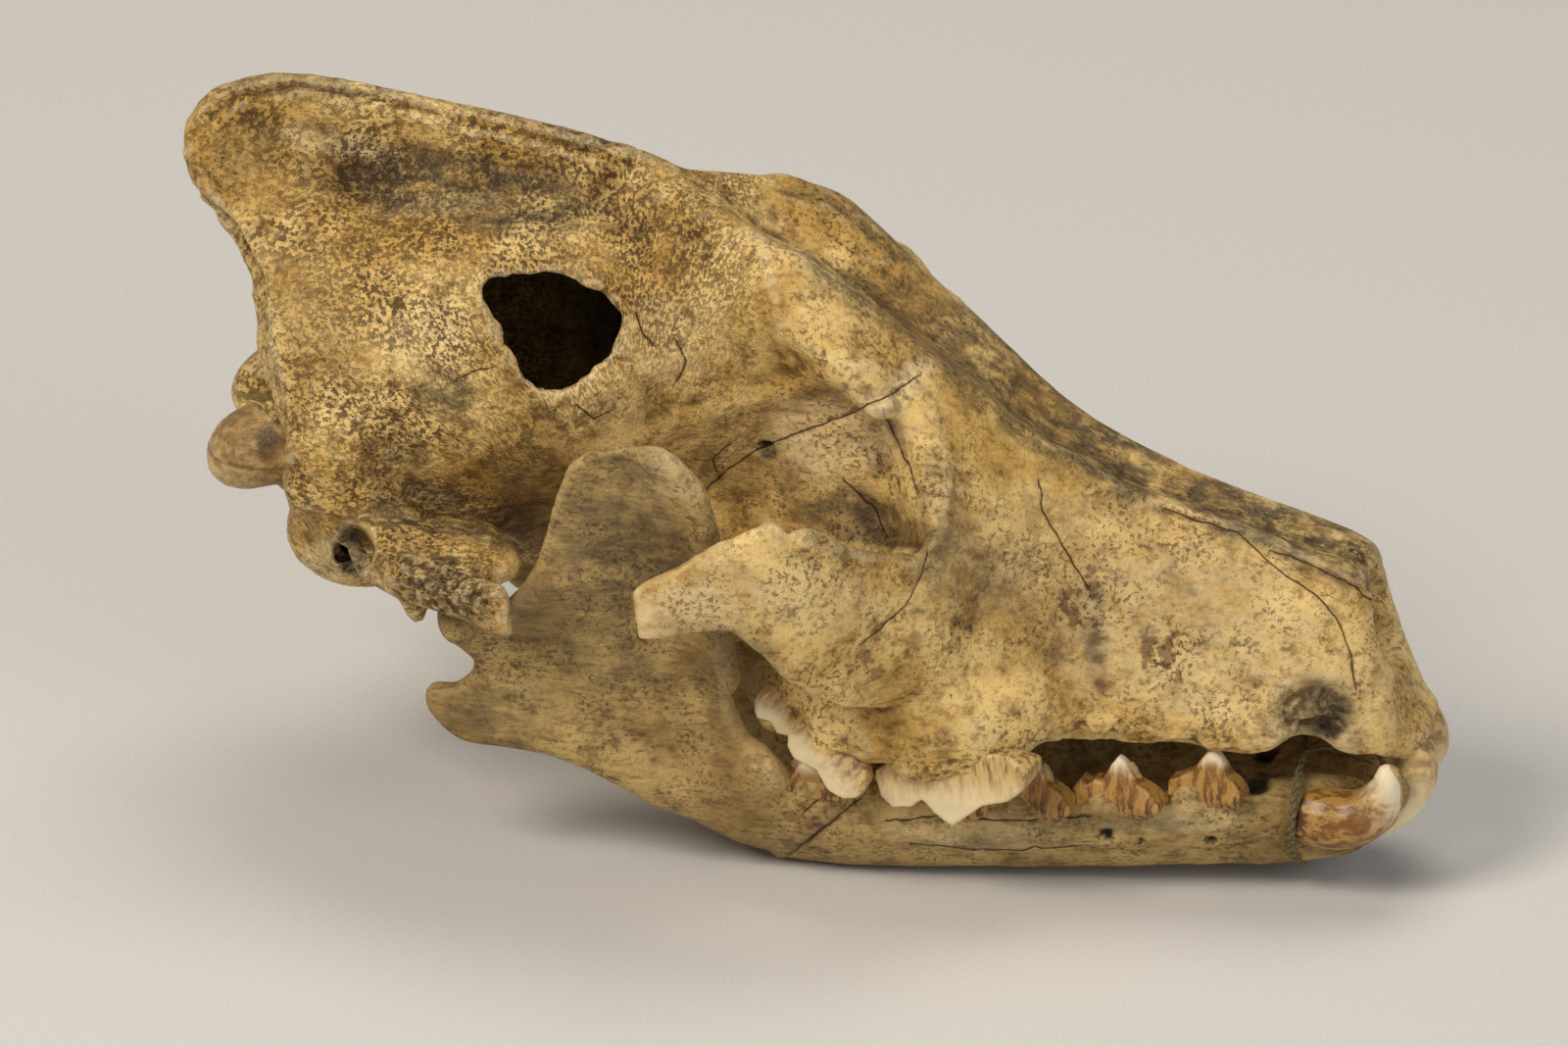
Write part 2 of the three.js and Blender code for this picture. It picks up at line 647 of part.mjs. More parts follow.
const cranium = body([
  ...braincase,
  ["add", 8, both(bars([[18, 0, 74, 11, 5], [45, 0, 67, 14, 6], [72, 0, 60, 12, 6]], [0, 1, 0]))],
  ["add", 9, plate(CREST, () => 0, 1.9, 1)],
  ["add", 3, chain([[0.4, 0, 143.4, 2.2], [5, 0, 147.6, 2.7], [12, 0, 149.4, 3], [23, 0, 149.2, 3],
    [36, 0, 146.6, 2.9], [49, 0, 144, 2.8], [62, 0, 141.2, 2.8], [76, 0, 137.8, 2.6],
    [88, 0, 132.8, 2.4]])],
  ["add", 6, ellipsoid([26.5, 0, 98], [12, 33, 24], 0)],
  ["add", 8, both(bars(NUCHAL, [1, 0, 0.1]))],
  ["add", 4, both(chain([[23, 37, 90, 4], [22.6, 37, 81, 3.4]]))],
  ["add", 5, both(chain([[24, 37, 84, 4], [32, 37, 79, 4], [40, 42, 74, 4]]))],
  ["add", 4, both(chain([[23, 29, 82, 5.5], [23.5, 27, 72, 3.4], [24, 26, 66, 2]]))],
  ["add", 5, both(rod([17, 13, 83], [30, 10, 78], 7, 9))],
  ["add", 2.5, both(ellipsoid([11.2, 15.8, 82], [9.2, 8.6, 7.8], 35))],
  ["add", 3, both(ellipsoid([31.5, 21.5, 67.5], [13.5, 9.6, 10.6], -12))],
  ["add", 3, both(ellipsoid([31, 30.5, 71], [6.4, 6.5, 6.6], 0))],
  ["add", 9, loft(FACE)],
  ["add", 5, both(chain([[84, 3, 130.5, 2.6], [95, 7, 128.5, 2.6], [103, 13, 125, 2.6],
    [109, 20, 118.6, 2.6], [118, 24.4, 111, 2.6], [125, 26.8, 104.4, 2.8], [130, 29.4, 99.4, 2.6]]))],
  ["add", 4, both(bars([[110, 29, 42, 5, 4], [118, 32.6, 41, 5.5, 4.6], [124, 34.6, 39, 6, 5],
    [131, 36.6, 37.4, 7.6, 5], [140, 37, 38, 8, 4.8], [150, 35.6, 38, 8, 4.4], [160, 30.4, 38, 8.4, 4]]))],
  ["add", 4, both(ellipsoid([50, 42, 72], [15, 13, 4.4], 0))],
  ["add", 3, both(plate(PTERYGOID, (x) => 12 + 0.05 * (x - 80), 1.9, 1))],
  ["add", 5, both(bars(ARCH))],
  ["add", 3, both(chain([[43, 46, 68, 3.4], [44, 46, 61.6, 2.2]]))],
  ["cut", 1.5, hollow],
  ["cut", 4, hindbrain],
  ["cut", 1.5, both(ellipsoid([31.5, 21.5, 67.5], [11, 7.2, 8.2], -12))],
  ["cut", 1.2, ellipsoid(FORAMEN.at, FORAMEN.radii, -6)],
  ["cut", 0.6, hole],
  ["cut", 0.6, missing],
  ["cut", 1.5, both(ellipsoid([31, 34, 70.5], [2.8, 9.5, 4.2], 0))],
  ["cut", 2, both(ellipsoid([169, 29.5, 51], [7, 4, 4.6], 20))],
  ["cut", 1.5, ellipsoid([229, 0, 46.5], [19, 9.2, 9.6], 8)],
  ["cut", 1.5, both(ellipsoid([213.5, 21.5, 27], [7.6, 5.2, 5], 20))],
]);

// The right half of the lower jaw.
// Lower edge [x, y, z] and upper edge [y, z] of the tooth-bearing part, with its half thickness.
const JAW_BODY = [
  [225.6, -3.6, 1.8, -6.4, 11.5, 3],
  [220.6, -5.2, 0.8, -10.5, 16.6, 5.2],
  [213, -6.8, 0.4, -14, 18.6, 5.6],
  [203, -7.8, -0.5, -17.5, 17.4, 5.3],
  [194, -8.8, -0.4, -20, 17, 5.2],
  [178, -10.8, 0.1, -23.5, 16.4, 5.4],
  [162, -12.8, 0.5, -26, 16.6, 5.4],
  [151, -14.2, 0.5, -27, 17, 5.5],
  [140, -15.2, 0.7, -28.4, 17.8, 5.7],
  [130, -16, 0.9, -29.6, 19.2, 5.8],
  [118, -16, 1.9, -32, 22, 5.8],
  [111.5, -16.2, 4.2, -34, 25, 5.6],
  [106, -20, 7.8, -35.6, 28, 5],
  [101, -26, 11.4, -37, 36, 4.2],
];
const RAMUS = [
  [110.5, 25], [105, 37], [100.4, 57], [98.8, 78], [97.6, 87], [92, 100.6], [82, 103.4],
  [74, 100.6], [70.4, 94],
  [66.6, 76], [62, 66.5], [56, 60], [52, 56], [55, 50.6], [54, 47.6], [51.4, 44.6], [46, 44], [47.6, 37],
  [54, 31.6], [69, 30.2], [80, 25], [91.4, 16.8], [101, 12.4], [110, 7.6],
];
// The branch of the jaw leans outwards.
const ramusMiddle = (x, z) =>
  -(44.5 + 0.33 * (z - 60)) + 0.1 * Math.max(x - 92, 0);

const jawRight = body([
  [
    "add",
    1,
    joined(JAW_BODY.slice(1).map((q, i) => {
      const p = JAW_BODY[i];
      const stop = ([x, yl, zl, yu, zu, half]) => [
        x,
        (yl + yu) / 2,
        (zl + zu) / 2,
        Math.hypot(yu - yl, zu - zl) / 2,
        half,
      ];
      return bar(stop(p), stop(q), [0, p[3] - p[1], p[4] - p[2]]);
    })),
  ],
  ["add", 4, ellipsoid([208, -5.8, 6.6], [18, 6, 7.6], -6)],
  ["add", 4, plate(RAMUS, ramusMiddle, 1.9, 0.9)],
  ["add", 3, chain([
    [102, -41, 48, 2.8], [98.4, -50, 76, 2.8], [95, -54.6, 91, 2.4], [87, -57.4, 99.6, 2],
  ])],
  ["add", 3, chain([[92, -31, 20.4, 3.4], [80, -34, 28, 3.4], [68, -35, 33.2, 3.2],
    [55, -36, 35.4, 3], [49, -38, 41.6, 2.2]])],
  ["add", 2.5, chain([[51.4, -36.5, 59.4, 3.4], [51.6, -43.5, 60.8, 4], [52, -50.5, 61.6, 3.7]])],
  ["add", 3, rod([53, -44, 59], [61, -43.5, 54], 3.6, 3)],
]);
const jawSide = (x, y, z) => Math.max(jawRight(x, y, z), y + HALF_GAP);

// Teeth. Each crown stands on the jaw line and is a row of cusps on one swollen base.
// name: [length, width, height, [[place along the length, share of the height, radius], ...]]
const CROWNS = {
  carnassialUpper: [27, 10.5, 12, [[0.42, 1, 3], [0.74, 0.62, 2.6], [0.16, 0.35, 2.2]]],
  molarUpperFirst: [15.5, 18, 8, [[0.68, 1, 3], [0.3, 0.85, 2.8]]],
  molarUpperSecond: [8.5, 12, 5.5, [[0.66, 1, 2.2], [0.3, 0.8, 2]]],
  premolarFourth: [14.5, 6.8, 10, [[0.58, 1, 2.4], [0.25, 0.55, 1.8]]],
  premolarThird: [14.5, 6.4, 9.4, [[0.6, 1, 2.3], [0.2, 0.45, 1.7]]],
  premolarSecond: [12.6, 6, 9, [[0.6, 1, 2.2], [0.2, 0.35, 1.6]]],
  carnassialLower: [27, 10, 13, [[0.48, 1, 3], [0.78, 0.75, 2.6], [0.16, 0.45, 2.4]]],
  molarLowerSecond: [11, 8, 6, [[0.65, 1, 2.2], [0.3, 0.7, 2]]],
};

// The field of a crown at a place; sign is 1 for a tooth that points up and -1 for one that
// points down, lean is how far the tip stands out sideways.
function crownField([length, width, height, cusps], [x, y, z], sign, turn = 0) {
  const cos = Math.cos(turn * degrees);
  const sin = Math.sin(turn * degrees);
  const place = (along, across, up) => [
    x + along * cos - across * sin,
    y + along * sin + across * cos,
    z + sign * up,
  ];
  const steps = [];
  const half = length / 2;
  const base = bar(
    [...place(-half + width * 0.42, 0, height * 0.12), height * 0.26, width * 0.4],
    [...place(half - width * 0.42, 0, height * 0.12), height * 0.26, width * 0.4],
  );
  steps.push(["add", 0.5, base]);
  for (const [at, share, r] of cusps) {
    const along = -half + at * length;
    steps.push([
      "add",
      1.2,
      bar(
        [...place(along, 0, 0), r * 1.75, r * 1.1],
        [...place(along, 0, height * share - 0.8), 1, 0.8],
        [cos, sin, 0],
      ),
    ]);
  }
  steps.push([
    "add",
    1,
    rod(place(-half * 0.5, 0, -2), place(-half * 0.5, 0, 0), width * 0.3, width * 0.34),
  ]);
  steps.push([
    "add",
    1,
    rod(place(half * 0.5, 0, -2), place(half * 0.5, 0, 0), width * 0.3, width * 0.34),
  ]);
  const reach = [half + 2, Math.max(width / 2 + 2, half * Math.abs(sin) + 4), height + 5];
  return {
    field: body(steps),
    low: [x - reach[0], y - reach[1], z - reach[2]],
    high: [x + reach[0], y + reach[1], z + reach[2]],
  };
}

// [crown, x, y, z, turn]: upper teeth of the right side hang from the alveolar edge.
const UPPER = [
  ["carnassialUpper", 147.4, -35.4, 31, 14],
  ["molarUpperFirst", 124.6, -34.6, 34, 20],
  ["molarUpperSecond", 114.4, -30.6, 37, 20],
];
const LOWER = [
  ["premolarSecond", 194.4, -20, 17, 10],
  ["premolarThird", 178.6, -23.4, 16.4, 10],
  ["premolarFourth", 162.3, -26, 16.4, 8],
  ["carnassialLower", 140.6, -28.2, 17.4, 6],
  ["molarLowerSecond", 120.6, -31, 22.4, 16],
];
const CANINE = [
  [214, -13.4, 11, 5.4], [220, -13.6, 10.2, 5.8], [226, -14.4, 12.4, 5], [229.6, -15.2, 16.6, 3.6],
  [229.4, -16.2, 20.6, 2.2], [228.6, -16.6, 22.6, 1.2],
];
const INCISOR = [
  [233, -6, 25, 3], [234, -7.4, 18.4, 3], [231.8, -8, 12.4, 2.2], [229.8, -7.8, 7.4, 1],
];

const toothSolid = ({ field, low, high }) =>
  carve(field, low, high, TOOTH_CELL, TOOTH_TRIANGLES);

function spikeField(stops) {
  const low = [0, 1, 2].map((i) => Math.min(...stops.map((s) => s[i] - s[3])) - 1.5);
  const high = [0, 1, 2].map((i) => Math.max(...stops.map((s) => s[i] + s[3])) + 1.5);
  return { field: body([["add", 1.5, chain(stops)]]), low, high };
}

const across = new THREE.Matrix4().makeScale(1, -1, 1).elements;
const leftOf = (solid) => solid.transform(Array.from(across));

const upperTeeth = [
  ...UPPER.map(([name, x, y, z, turn]) => toothSolid(crownField(CROWNS[name], [x, y, z], -1, turn))),
  toothSolid(spikeField(INCISOR)),
];
const lowerTeeth = [
  ...LOWER.map(([name, x, y, z, turn]) => toothSolid(crownField(CROWNS[name], [x, y, z], 1, turn))),
  toothSolid(spikeField(CANINE)),
];
const craniumSolid = largest(
  [...upperTeeth, ...upperTeeth.map(leftOf)].reduce(
    (bone, tooth) => bone.add(tooth),
    carve(cranium, [-8, -72, 15], [241, 72, 157], CELL, CRANIUM_TRIANGLES),
  ),
);
const jawSolid = largest(
  lowerTeeth.reduce(
    (bone, tooth) => bone.add(tooth),
    carve(jawSide, [40, -64, -6], [238, 1, 104], 1.4, JAW_TRIANGLES),
  ),
);

// The twine that holds the two jaw halves together: a loop of [x, y, z].
const TWINE = [
  [212.4, -8, 21.6], [211.6, -16.6, 21.4], [210.4, -20.4, 14], [210.6, -17, 4.4], [212.6, -9.8, -2],
  [213.6, 0, -2.6],
];
function twineGeometry() {
  const half = TWINE.map((p) => new THREE.Vector3(...p));
  const rest = TWINE.slice(0, -1).reverse().map(([x, y, z]) => new THREE.Vector3(x, -y, z));
  const loop = new THREE.CatmullRomCurve3([...half, ...rest], true, "catmullrom", 0.5);
  return new THREE.TubeGeometry(loop, 72, TWINE_RADIUS, 6, true);
}

function geometryOf(solid) {
  const mesh = solid.getMesh();
  const geometry = new THREE.BufferGeometry();
  const n = mesh.numProp;
  const points = new Float32Array(mesh.numVert * 3);
  for (let i = 0; i < mesh.numVert; i++)
    points.set(mesh.vertProperties.subarray(i * n, i * n + 3), i * 3);
  geometry.setAttribute("position", new THREE.BufferAttribute(points, 3));
  geometry.setIndex(new THREE.BufferAttribute(Uint32Array.from(mesh.triVerts), 1));
  return geometry;
}

// Dry old bone, and the twine round the jaw.
const FINISH = {
  cranium: { color: 0xa98c5c, roughness: 0.62, metalness: 0 },
  mandible_right: { color: 0x8f7a58, roughness: 0.62, metalness: 0 },
  mandible_left: { color: 0x8f7a58, roughness: 0.62, metalness: 0 },
  jaw_tie: { color: 0x3a3a26, roughness: 0.8, metalness: 0 },
};

const skull = new THREE.Group();
skull.name = "wolf_skull";
const nodes = {
  cranium: geometryOf(craniumSolid),
  mandible_right: geometryOf(jawSolid),
  mandible_left: geometryOf(leftOf(jawSolid)),
  jaw_tie: twineGeometry(),
};
const box = new THREE.Box3();
for (const geometry of Object.values(nodes)) {
  const points = geometry.attributes.position;
  for (let i = 0; i < points.count; i++) {
    const aside = Math.hypot(points.getY(i), SWEEP_START) - SWEEP_START;
    const x = points.getX(i) + SWEEP * aside;
    points.setX(i, STRETCH * x);
    points.setZ(i, points.getZ(i) + RISE * x);
  }
  geometry.applyMatrix4(new THREE.Matrix4().makeRotationY(-PITCH * degrees));
  geometry.computeBoundingBox();
  box.union(geometry.boundingBox);
}
const shift = [-(box.min.x + box.max.x) / 2, -(box.min.y + box.max.y) / 2, -box.min.z];
for (const [name, geometry] of Object.entries(nodes)) {
  geometry.translate(...shift);
  const mesh = new THREE.Mesh(geometry, new THREE.MeshStandardMaterial(FINISH[name]));
  mesh.name = name;
  skull.add(mesh);
}

export default skull;
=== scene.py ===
"""A wolf's skull with its lower jaw, dressed for a museum picture.

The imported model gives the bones' shapes and places.
Each bone is taken from there, made smooth, carved with the marks of the real one, and coloured.
"""

import itertools
import logging
import math
from collections.abc import Iterable, Sequence
from dataclasses import dataclass, field
from enum import Enum

import bpy
import numpy as np
from mathutils import Matrix, Quaternion, Vector
from mathutils.bvhtree import BVHTree


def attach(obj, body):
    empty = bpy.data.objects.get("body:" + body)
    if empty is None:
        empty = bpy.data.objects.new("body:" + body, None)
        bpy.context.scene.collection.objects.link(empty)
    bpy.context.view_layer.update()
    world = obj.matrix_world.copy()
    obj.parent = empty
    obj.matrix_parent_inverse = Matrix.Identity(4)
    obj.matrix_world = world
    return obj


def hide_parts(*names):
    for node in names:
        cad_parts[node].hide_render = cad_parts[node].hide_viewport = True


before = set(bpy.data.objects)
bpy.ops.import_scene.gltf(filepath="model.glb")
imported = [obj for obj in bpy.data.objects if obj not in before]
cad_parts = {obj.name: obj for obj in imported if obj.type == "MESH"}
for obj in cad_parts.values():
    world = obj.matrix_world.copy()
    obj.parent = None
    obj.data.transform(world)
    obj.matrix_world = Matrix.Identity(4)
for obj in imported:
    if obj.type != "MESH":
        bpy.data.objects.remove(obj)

MM = 0.001  # metres in a millimetre
ROOT_BODY = "root"
BONE_VOXEL = 0.8  # millimetres between the points of a bone's surface
TOOTH_VOXEL = 0.3  # millimetres between the points of a tooth's surface
DOUBLES_GAP = 0.002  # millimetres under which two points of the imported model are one
RAY_LIFT = 0.5  # millimetres that a ray starts above the surface
RAY_LEAD = 0.8  # millimetres that it starts ahead towards the camera
FACING_LEAST = 0.02  # how far a point has to face the camera to be looked for
LINE_DEPTH = 0.22  # millimetres that a suture or crack is cut in
LINE_WIDTH = 0.7  # millimetres, half its width
FORAMEN_DEPTH = 1.6  # millimetres that a small opening is sunk
WAVE_HEIGHT = 0.22  # millimetres that the old surface rises and falls
FIBRE_HEIGHT = 0.10  # millimetres that its fibres stand out
CRUMB_HEIGHT = 0.75  # millimetres that broken bone is rough
CRUMB_DEPTH = 0.3  # millimetres that it lies deeper
RIB_HEIGHT = 0.3  # millimetres that the rays of the braincase stand out

log = logging.getLogger("wolf_skull")

Point2 = tuple[float, float]
Point3 = tuple[float, float, float]


class Slot(Enum):
    """The names of the material slots."""

    CRANIUM = "cranium_bone"
    MANDIBLE = "mandible_bone"
    TWINE = "twine"


class Side(Enum):
    """The sides of the head, by the sign of y."""

    RIGHT = -1
    LEFT = 1


# Short tools


def srgb(text: str) -> tuple[float, float, float, float]:
    """Turns an sRGB hex colour into a linear one.

    Args:
        text: six hex digits.

    Returns:
        Red, green, blue and alpha, linear.
    """
    channels = [int(text[i : i + 2], 16) / 255 for i in (0, 2, 4)]
    linear = [c / 12.92 if c <= 0.04045 else ((c + 0.055) / 1.055) ** 2.4 for c in channels]
    return (*linear, 1.0)


def deselect_all() -> None:
    """Leaves object mode with nothing selected."""
    if bpy.context.object and bpy.context.object.mode != "OBJECT":
        bpy.ops.object.mode_set(mode="OBJECT")
    bpy.ops.object.select_all(action="DESELECT")


def activate(piece: bpy.types.Object) -> None:
    """Selects one piece alone and makes it the active one."""
    deselect_all()
    piece.select_set(True)
    bpy.context.view_layer.objects.active = piece


def apply_modifier(piece: bpy.types.Object, kind: str, **settings: object) -> None:
    """Adds a modifier to a piece and applies it.

    Args:
        piece: the mesh object.
        kind: the modifier's type.
        settings: the modifier's values.
    """
    activate(piece)
    modifier = piece.modifiers.new(kind.lower(), kind)
    for name, value in settings.items():
        setattr(modifier, name, value)
    bpy.ops.object.modifier_apply(modifier=modifier.name)


def scale_mesh(piece: bpy.types.Object, factor: float) -> None:
    """Scales a piece's mesh about the origin."""
    activate(piece)
    piece.scale = (factor,) * 3
    bpy.ops.object.transform_apply(location=True, rotation=True, scale=True)


def join(pieces: Sequence[bpy.types.Object]) -> bpy.types.Object:
    """Joins mesh objects into the first one."""
    deselect_all()
    for piece in pieces:
        piece.select_set(True)
    bpy.context.view_layer.objects.active = pieces[0]
    bpy.ops.object.join()
    return pieces[0]


def declare(piece: bpy.types.Object, nodes: Iterable[str]) -> None:
    """Tells the frame what a finished piece rides on and what it replaces."""
    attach(piece, ROOT_BODY)
    for name in nodes:
        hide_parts(name)


def triangle_count(piece: bpy.types.Object) -> int:
    """Counts the triangles of a mesh."""
    return sum(len(face.vertices) - 2 for face in piece.data.polygons)


def dress(
    piece: bpy.types.Object, material: bpy.types.Material, nodes: Iterable[str]
) -> None:
    """Args:
        piece: the mesh object, in millimetres.
        material: its finish.
        nodes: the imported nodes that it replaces.
    """
    scale_mesh(piece, MM)
    activate(piece)
    bpy.ops.object.shade_smooth()
    piece.data.materials.clear()
    piece.data.materials.append(material)
    declare(piece, nodes)
    log.info("%s: %d triangles", piece.name, triangle_count(piece))


def lattice_noise(points: np.ndarray, size: float, seed: int) -> np.ndarray:
    """Gives smooth random values from -1 to 1.

    Args:
        points: places in millimetres, one a row.
        size: the distance over which the values change.
        seed: the draw.

    Returns:
        One value for each place.
    """
    scaled = points / size
    cell = np.floor(scaled).astype(np.int64)
    part = scaled - cell
    part = part * part * (3 - 2 * part)
    total = np.zeros(len(points))
    for corner in itertools.product((0, 1), repeat=3):
        at = cell + np.array(corner)
        mixed = at[:, 0] * 73856093 ^ at[:, 1] * 19349663 ^ at[:, 2] * 83492791 ^ seed * 6542989
        mixed = (mixed ^ (mixed >> 13)) * 1274126177
        mixed = mixed ^ (mixed >> 16)
        value = (mixed & 0xFFFFFF) / 0xFFFFFF * 2 - 1
        total += value * np.where(corner, part, 1 - part).prod(axis=1)
    return total


def layered_noise(points: np.ndarray, size: float, seed: int, layers: int = 3) -> np.ndarray:
    """Adds noises of halving size and strength."""
    total = np.zeros(len(points))
    for layer in range(layers):
        total += lattice_noise(points, size / 2**layer, seed + layer) / 2**layer
    return total / 1.6


def smooth_step(values: np.ndarray, low: float, high: float) -> np.ndarray:
    """Rises smoothly from 0 at low to 1 at high, or falls where low is the greater."""
    part = np.clip((values - low) / (high - low), 0, 1)
    return part * part * (3 - 2 * part)


# The photograph's view


@dataclass(frozen=True)
class PhotoView:
    """The photograph's long-lens view of the part, in degrees, millimetres and photo pixels."""

    azimuth: float = 7.65
    elevation: float = 24.12
    roll: float = 2.476
    aim: Point3 = (-4.7, 0.0, 60.62)
    centre: Point2 = (800.0, 534.0)
    pixels_per_mm: float = 5.39
    frame_pixels: float = 1600.0
    distance: float = 8000.0
    middle_depth: float = 50.0
    sensor: float = 36.0
    clip_start: float = 0.1  # metres, as the next
    clip_end: float = 40.0

    def axes(self) -> tuple[np.ndarray, np.ndarray, np.ndarray]:
        """Gives the picture's right, its up and the way back to the camera."""
        turn = math.radians(self.azimuth)
        rise = math.radians(self.elevation)
        tilt = math.radians(self.roll)
        back = np.array(
            (
                math.sin(turn) * math.cos(rise),
                -math.cos(turn) * math.cos(rise),
                math.sin(rise),
            )
        )
        level = np.array((math.cos(turn), math.sin(turn), 0.0))
        above = np.cross(back, level)
        right = level * math.cos(tilt) + above * math.sin(tilt)
        up = above * math.cos(tilt) - level * math.sin(tilt)
        return right, up, back

    def project(self, points: np.ndarray) -> np.ndarray:
        """Gives the photo pixels of places in millimetres.

        Args:
            points: the places, one a row.

        Returns:
            The pixels, one a row.
        """
        right, up, _ = self.axes()
        local = points - np.array(self.aim)
        return np.stack(
            (
                self.centre[0] + self.pixels_per_mm * local @ right,
                self.centre[1] - self.pixels_per_mm * local @ up,
            ),
            axis=1,
        )

    def place(self, pixel: Point2, y: float) -> Point3:
        """Gives the place in millimetres that a photo pixel shows, at a given y."""
        right, up, _ = self.axes()
        across = (pixel[0] - self.centre[0]) / self.pixels_per_mm - right[1] * (y - self.aim[1])
        above = (self.centre[1] - pixel[1]) / self.pixels_per_mm - up[1] * (y - self.aim[1])
        x, z = np.linalg.solve([[right[0], right[2]], [up[0], up[2]]], [across, above])
        return (x + self.aim[0], y, z + self.aim[2])

    def make_camera(self) -> bpy.types.Object:
        """Adds the camera and makes it the scene's."""
        right, up, back = self.axes()
        width = self.frame_pixels / self.pixels_per_mm
        lens = self.sensor * self.distance / width
        stand = np.array(self.aim) + back * (self.distance + self.middle_depth)
        stand -= back * (np.array(self.aim) @ back)
        deselect_all()
        bpy.ops.object.camera_add(location=tuple(stand * MM))
        camera = bpy.context.object
        camera.name = "long_lens_camera"
        camera.data.sensor_width = self.sensor
        camera.data.lens = lens
        camera.data.clip_start = self.clip_start
        camera.data.clip_end = self.clip_end
        turned = np.stack((right, up, back), axis=1)
        camera.rotation_mode = "QUATERNION"
        camera.rotation_quaternion = matrix_turn(turned)
        bpy.context.scene.camera = camera
        return camera


def matrix_turn(columns: np.ndarray) -> Quaternion:
    """Gives the rotation whose axes are the columns of a matrix."""
    return Matrix(columns.tolist()).to_quaternion()


VIEW = PhotoView()


# Surfaces


class Surface:
    """A mesh's points, normals and neighbours, in millimetres, for carving by numbers."""

    def __init__(self, piece: bpy.types.Object) -> None:
        """Reads the mesh of a piece whose unit is the millimetre.

        Args:
            piece: the mesh object.
        """
        self.piece = piece
        mesh = piece.data
        self.count = len(mesh.vertices)
        self.points = np.empty(self.count * 3)
        mesh.vertices.foreach_get("co", self.points)
        self.points = self.points.reshape(-1, 3)
        edges = np.empty(len(mesh.edges) * 2, np.int64)
        mesh.edges.foreach_get("vertices", edges)
        self.start, self.end = edges.reshape(-1, 2).T
        self.valence = np.bincount(self.start, minlength=self.count)
        self.valence = self.valence + np.bincount(self.end, minlength=self.count)
        self.valence = np.maximum(self.valence, 1)
        self.read_normals()

    def read_normals(self) -> None:
        """Reads the mesh's normals."""
        normals = np.empty(self.count * 3)
        self.piece.data.vertices.foreach_get("normal", normals)
        self.normals = normals.reshape(-1, 3)

    def write(self) -> None:
        """Writes the points to the mesh and reads its new normals."""
        self.piece.data.vertices.foreach_set("co", self.points.ravel())
        self.piece.data.update()
        self.read_normals()

    def mean_round(self, values: np.ndarray) -> np.ndarray:
        """Gives each point the mean of its neighbours' values."""
        if values.ndim == 2:
            return np.stack([self.mean_round(column) for column in values.T], axis=1)
        total = np.bincount(self.start, values[self.end], self.count)
        total += np.bincount(self.end, values[self.start], self.count)
        return total / self.valence

    def blur(self, values: np.ndarray, rounds: int) -> np.ndarray:
        """Spreads values over the surface."""
        for _ in range(rounds):
            values = (values + self.mean_round(values)) / 2
        return values

    def push(self, amounts: np.ndarray) -> None:
        """Moves each point along its normal."""
        self.points = self.points + self.normals * amounts[:, None]
        self.write()

    def relax(self, rounds: int, weight: np.ndarray | float = 1.0) -> None:
        """Smooths the surface without shrinking it much.

        Args:
            rounds: how often it is smoothed.
            weight: the share of smoothing for each point.
        """
        weight = np.broadcast_to(weight, self.count)[:, None]
        for _ in range(rounds):
            for share in (0.6, -0.62):
                step = self.mean_round(self.points) - self.points
                self.points = self.points + step * share * weight
        self.write()

    def fill(self, share: np.ndarray, rounds: int = 140) -> None:
        """Evens out the surface where share is high, which fills its hollows."""
        for _ in range(rounds):
            step = self.mean_round(self.points) - self.points
            self.points = self.points + step * np.clip(share, 0, 0.9)[:, None]
        self.write()

    def hollows(self, rounds: int) -> np.ndarray:
        """Tells how far each point lies below its smoothed surroundings, in millimetres."""
        spread = self.blur(self.points, rounds)
        return ((spread - self.points) * self.normals).sum(axis=1)

    def store(self, name: str, values: np.ndarray) -> None:
        """Keeps one number, or three, for each point as an attribute."""
        kind = "FLOAT_VECTOR" if values.ndim == 2 else "FLOAT"
        attribute = self.piece.data.attributes.new(name, kind, "POINT")
        target = "vector" if values.ndim == 2 else "value"
        attribute.data.foreach_set(target, values.astype(np.float32).ravel())


class PhotoSight:
    """Where each point of a surface shows in the photograph, with the left side folded on the right."""

    def __init__(self, surface: Surface, folded: bool) -> None:
        """Projects the points and casts a ray from each towards the camera.

        Args:
            surface: the surface.
            folded: whether points of the left side take the right side's places.
        """
        _, _, back = VIEW.axes()
        points = surface.points.copy()
        normals = surface.normals.copy()
        if folded:
            left = points[:, 1] > 0
            points[left, 1] *= -1
            normals[left, 1] *= -1
        self.pixels = VIEW.project(points)
        facing = normals @ back
        mesh = surface.piece.data
        tree = BVHTree.FromPolygons(
            [tuple(p) for p in surface.points], [tuple(f.vertices) for f in mesh.polygons]
        )
        towards = Vector(back)
        open_sky = np.zeros(surface.count)
        starts = points + normals * RAY_LIFT + back * RAY_LEAD
        for i in np.flatnonzero(facing > FACING_LEAST):
            hit = tree.ray_cast(Vector(starts[i]), towards)
            open_sky[i] = hit[0] is None
        self.seen = surface.blur(open_sky, 2)
        self.near = np.clip(surface.blur(open_sky, 14) * 3, 0, 1)


# Marks read from the photograph, in its pixels


@dataclass(frozen=True)
class Stroke:
    """A groove or a ridge along a line of the photograph."""

    line: tuple[Point2, ...]
    width: float  # millimetres from its middle to where it has faded
    height: float  # millimetres, below 0 for a groove
    rough: float = 0.0  # how much its height varies along it


@dataclass(frozen=True)
class Patch:
    """A soft-edged oval of the photograph."""

    x: float
    y: float
    wide: float
    high: float
    turn: float = 0.0
    strength: float = 1.0


@dataclass(frozen=True)
class Swell:
    """A soft rise of the surface, below 0 for a hollow."""

    patch: Patch
    height: float  # millimetres


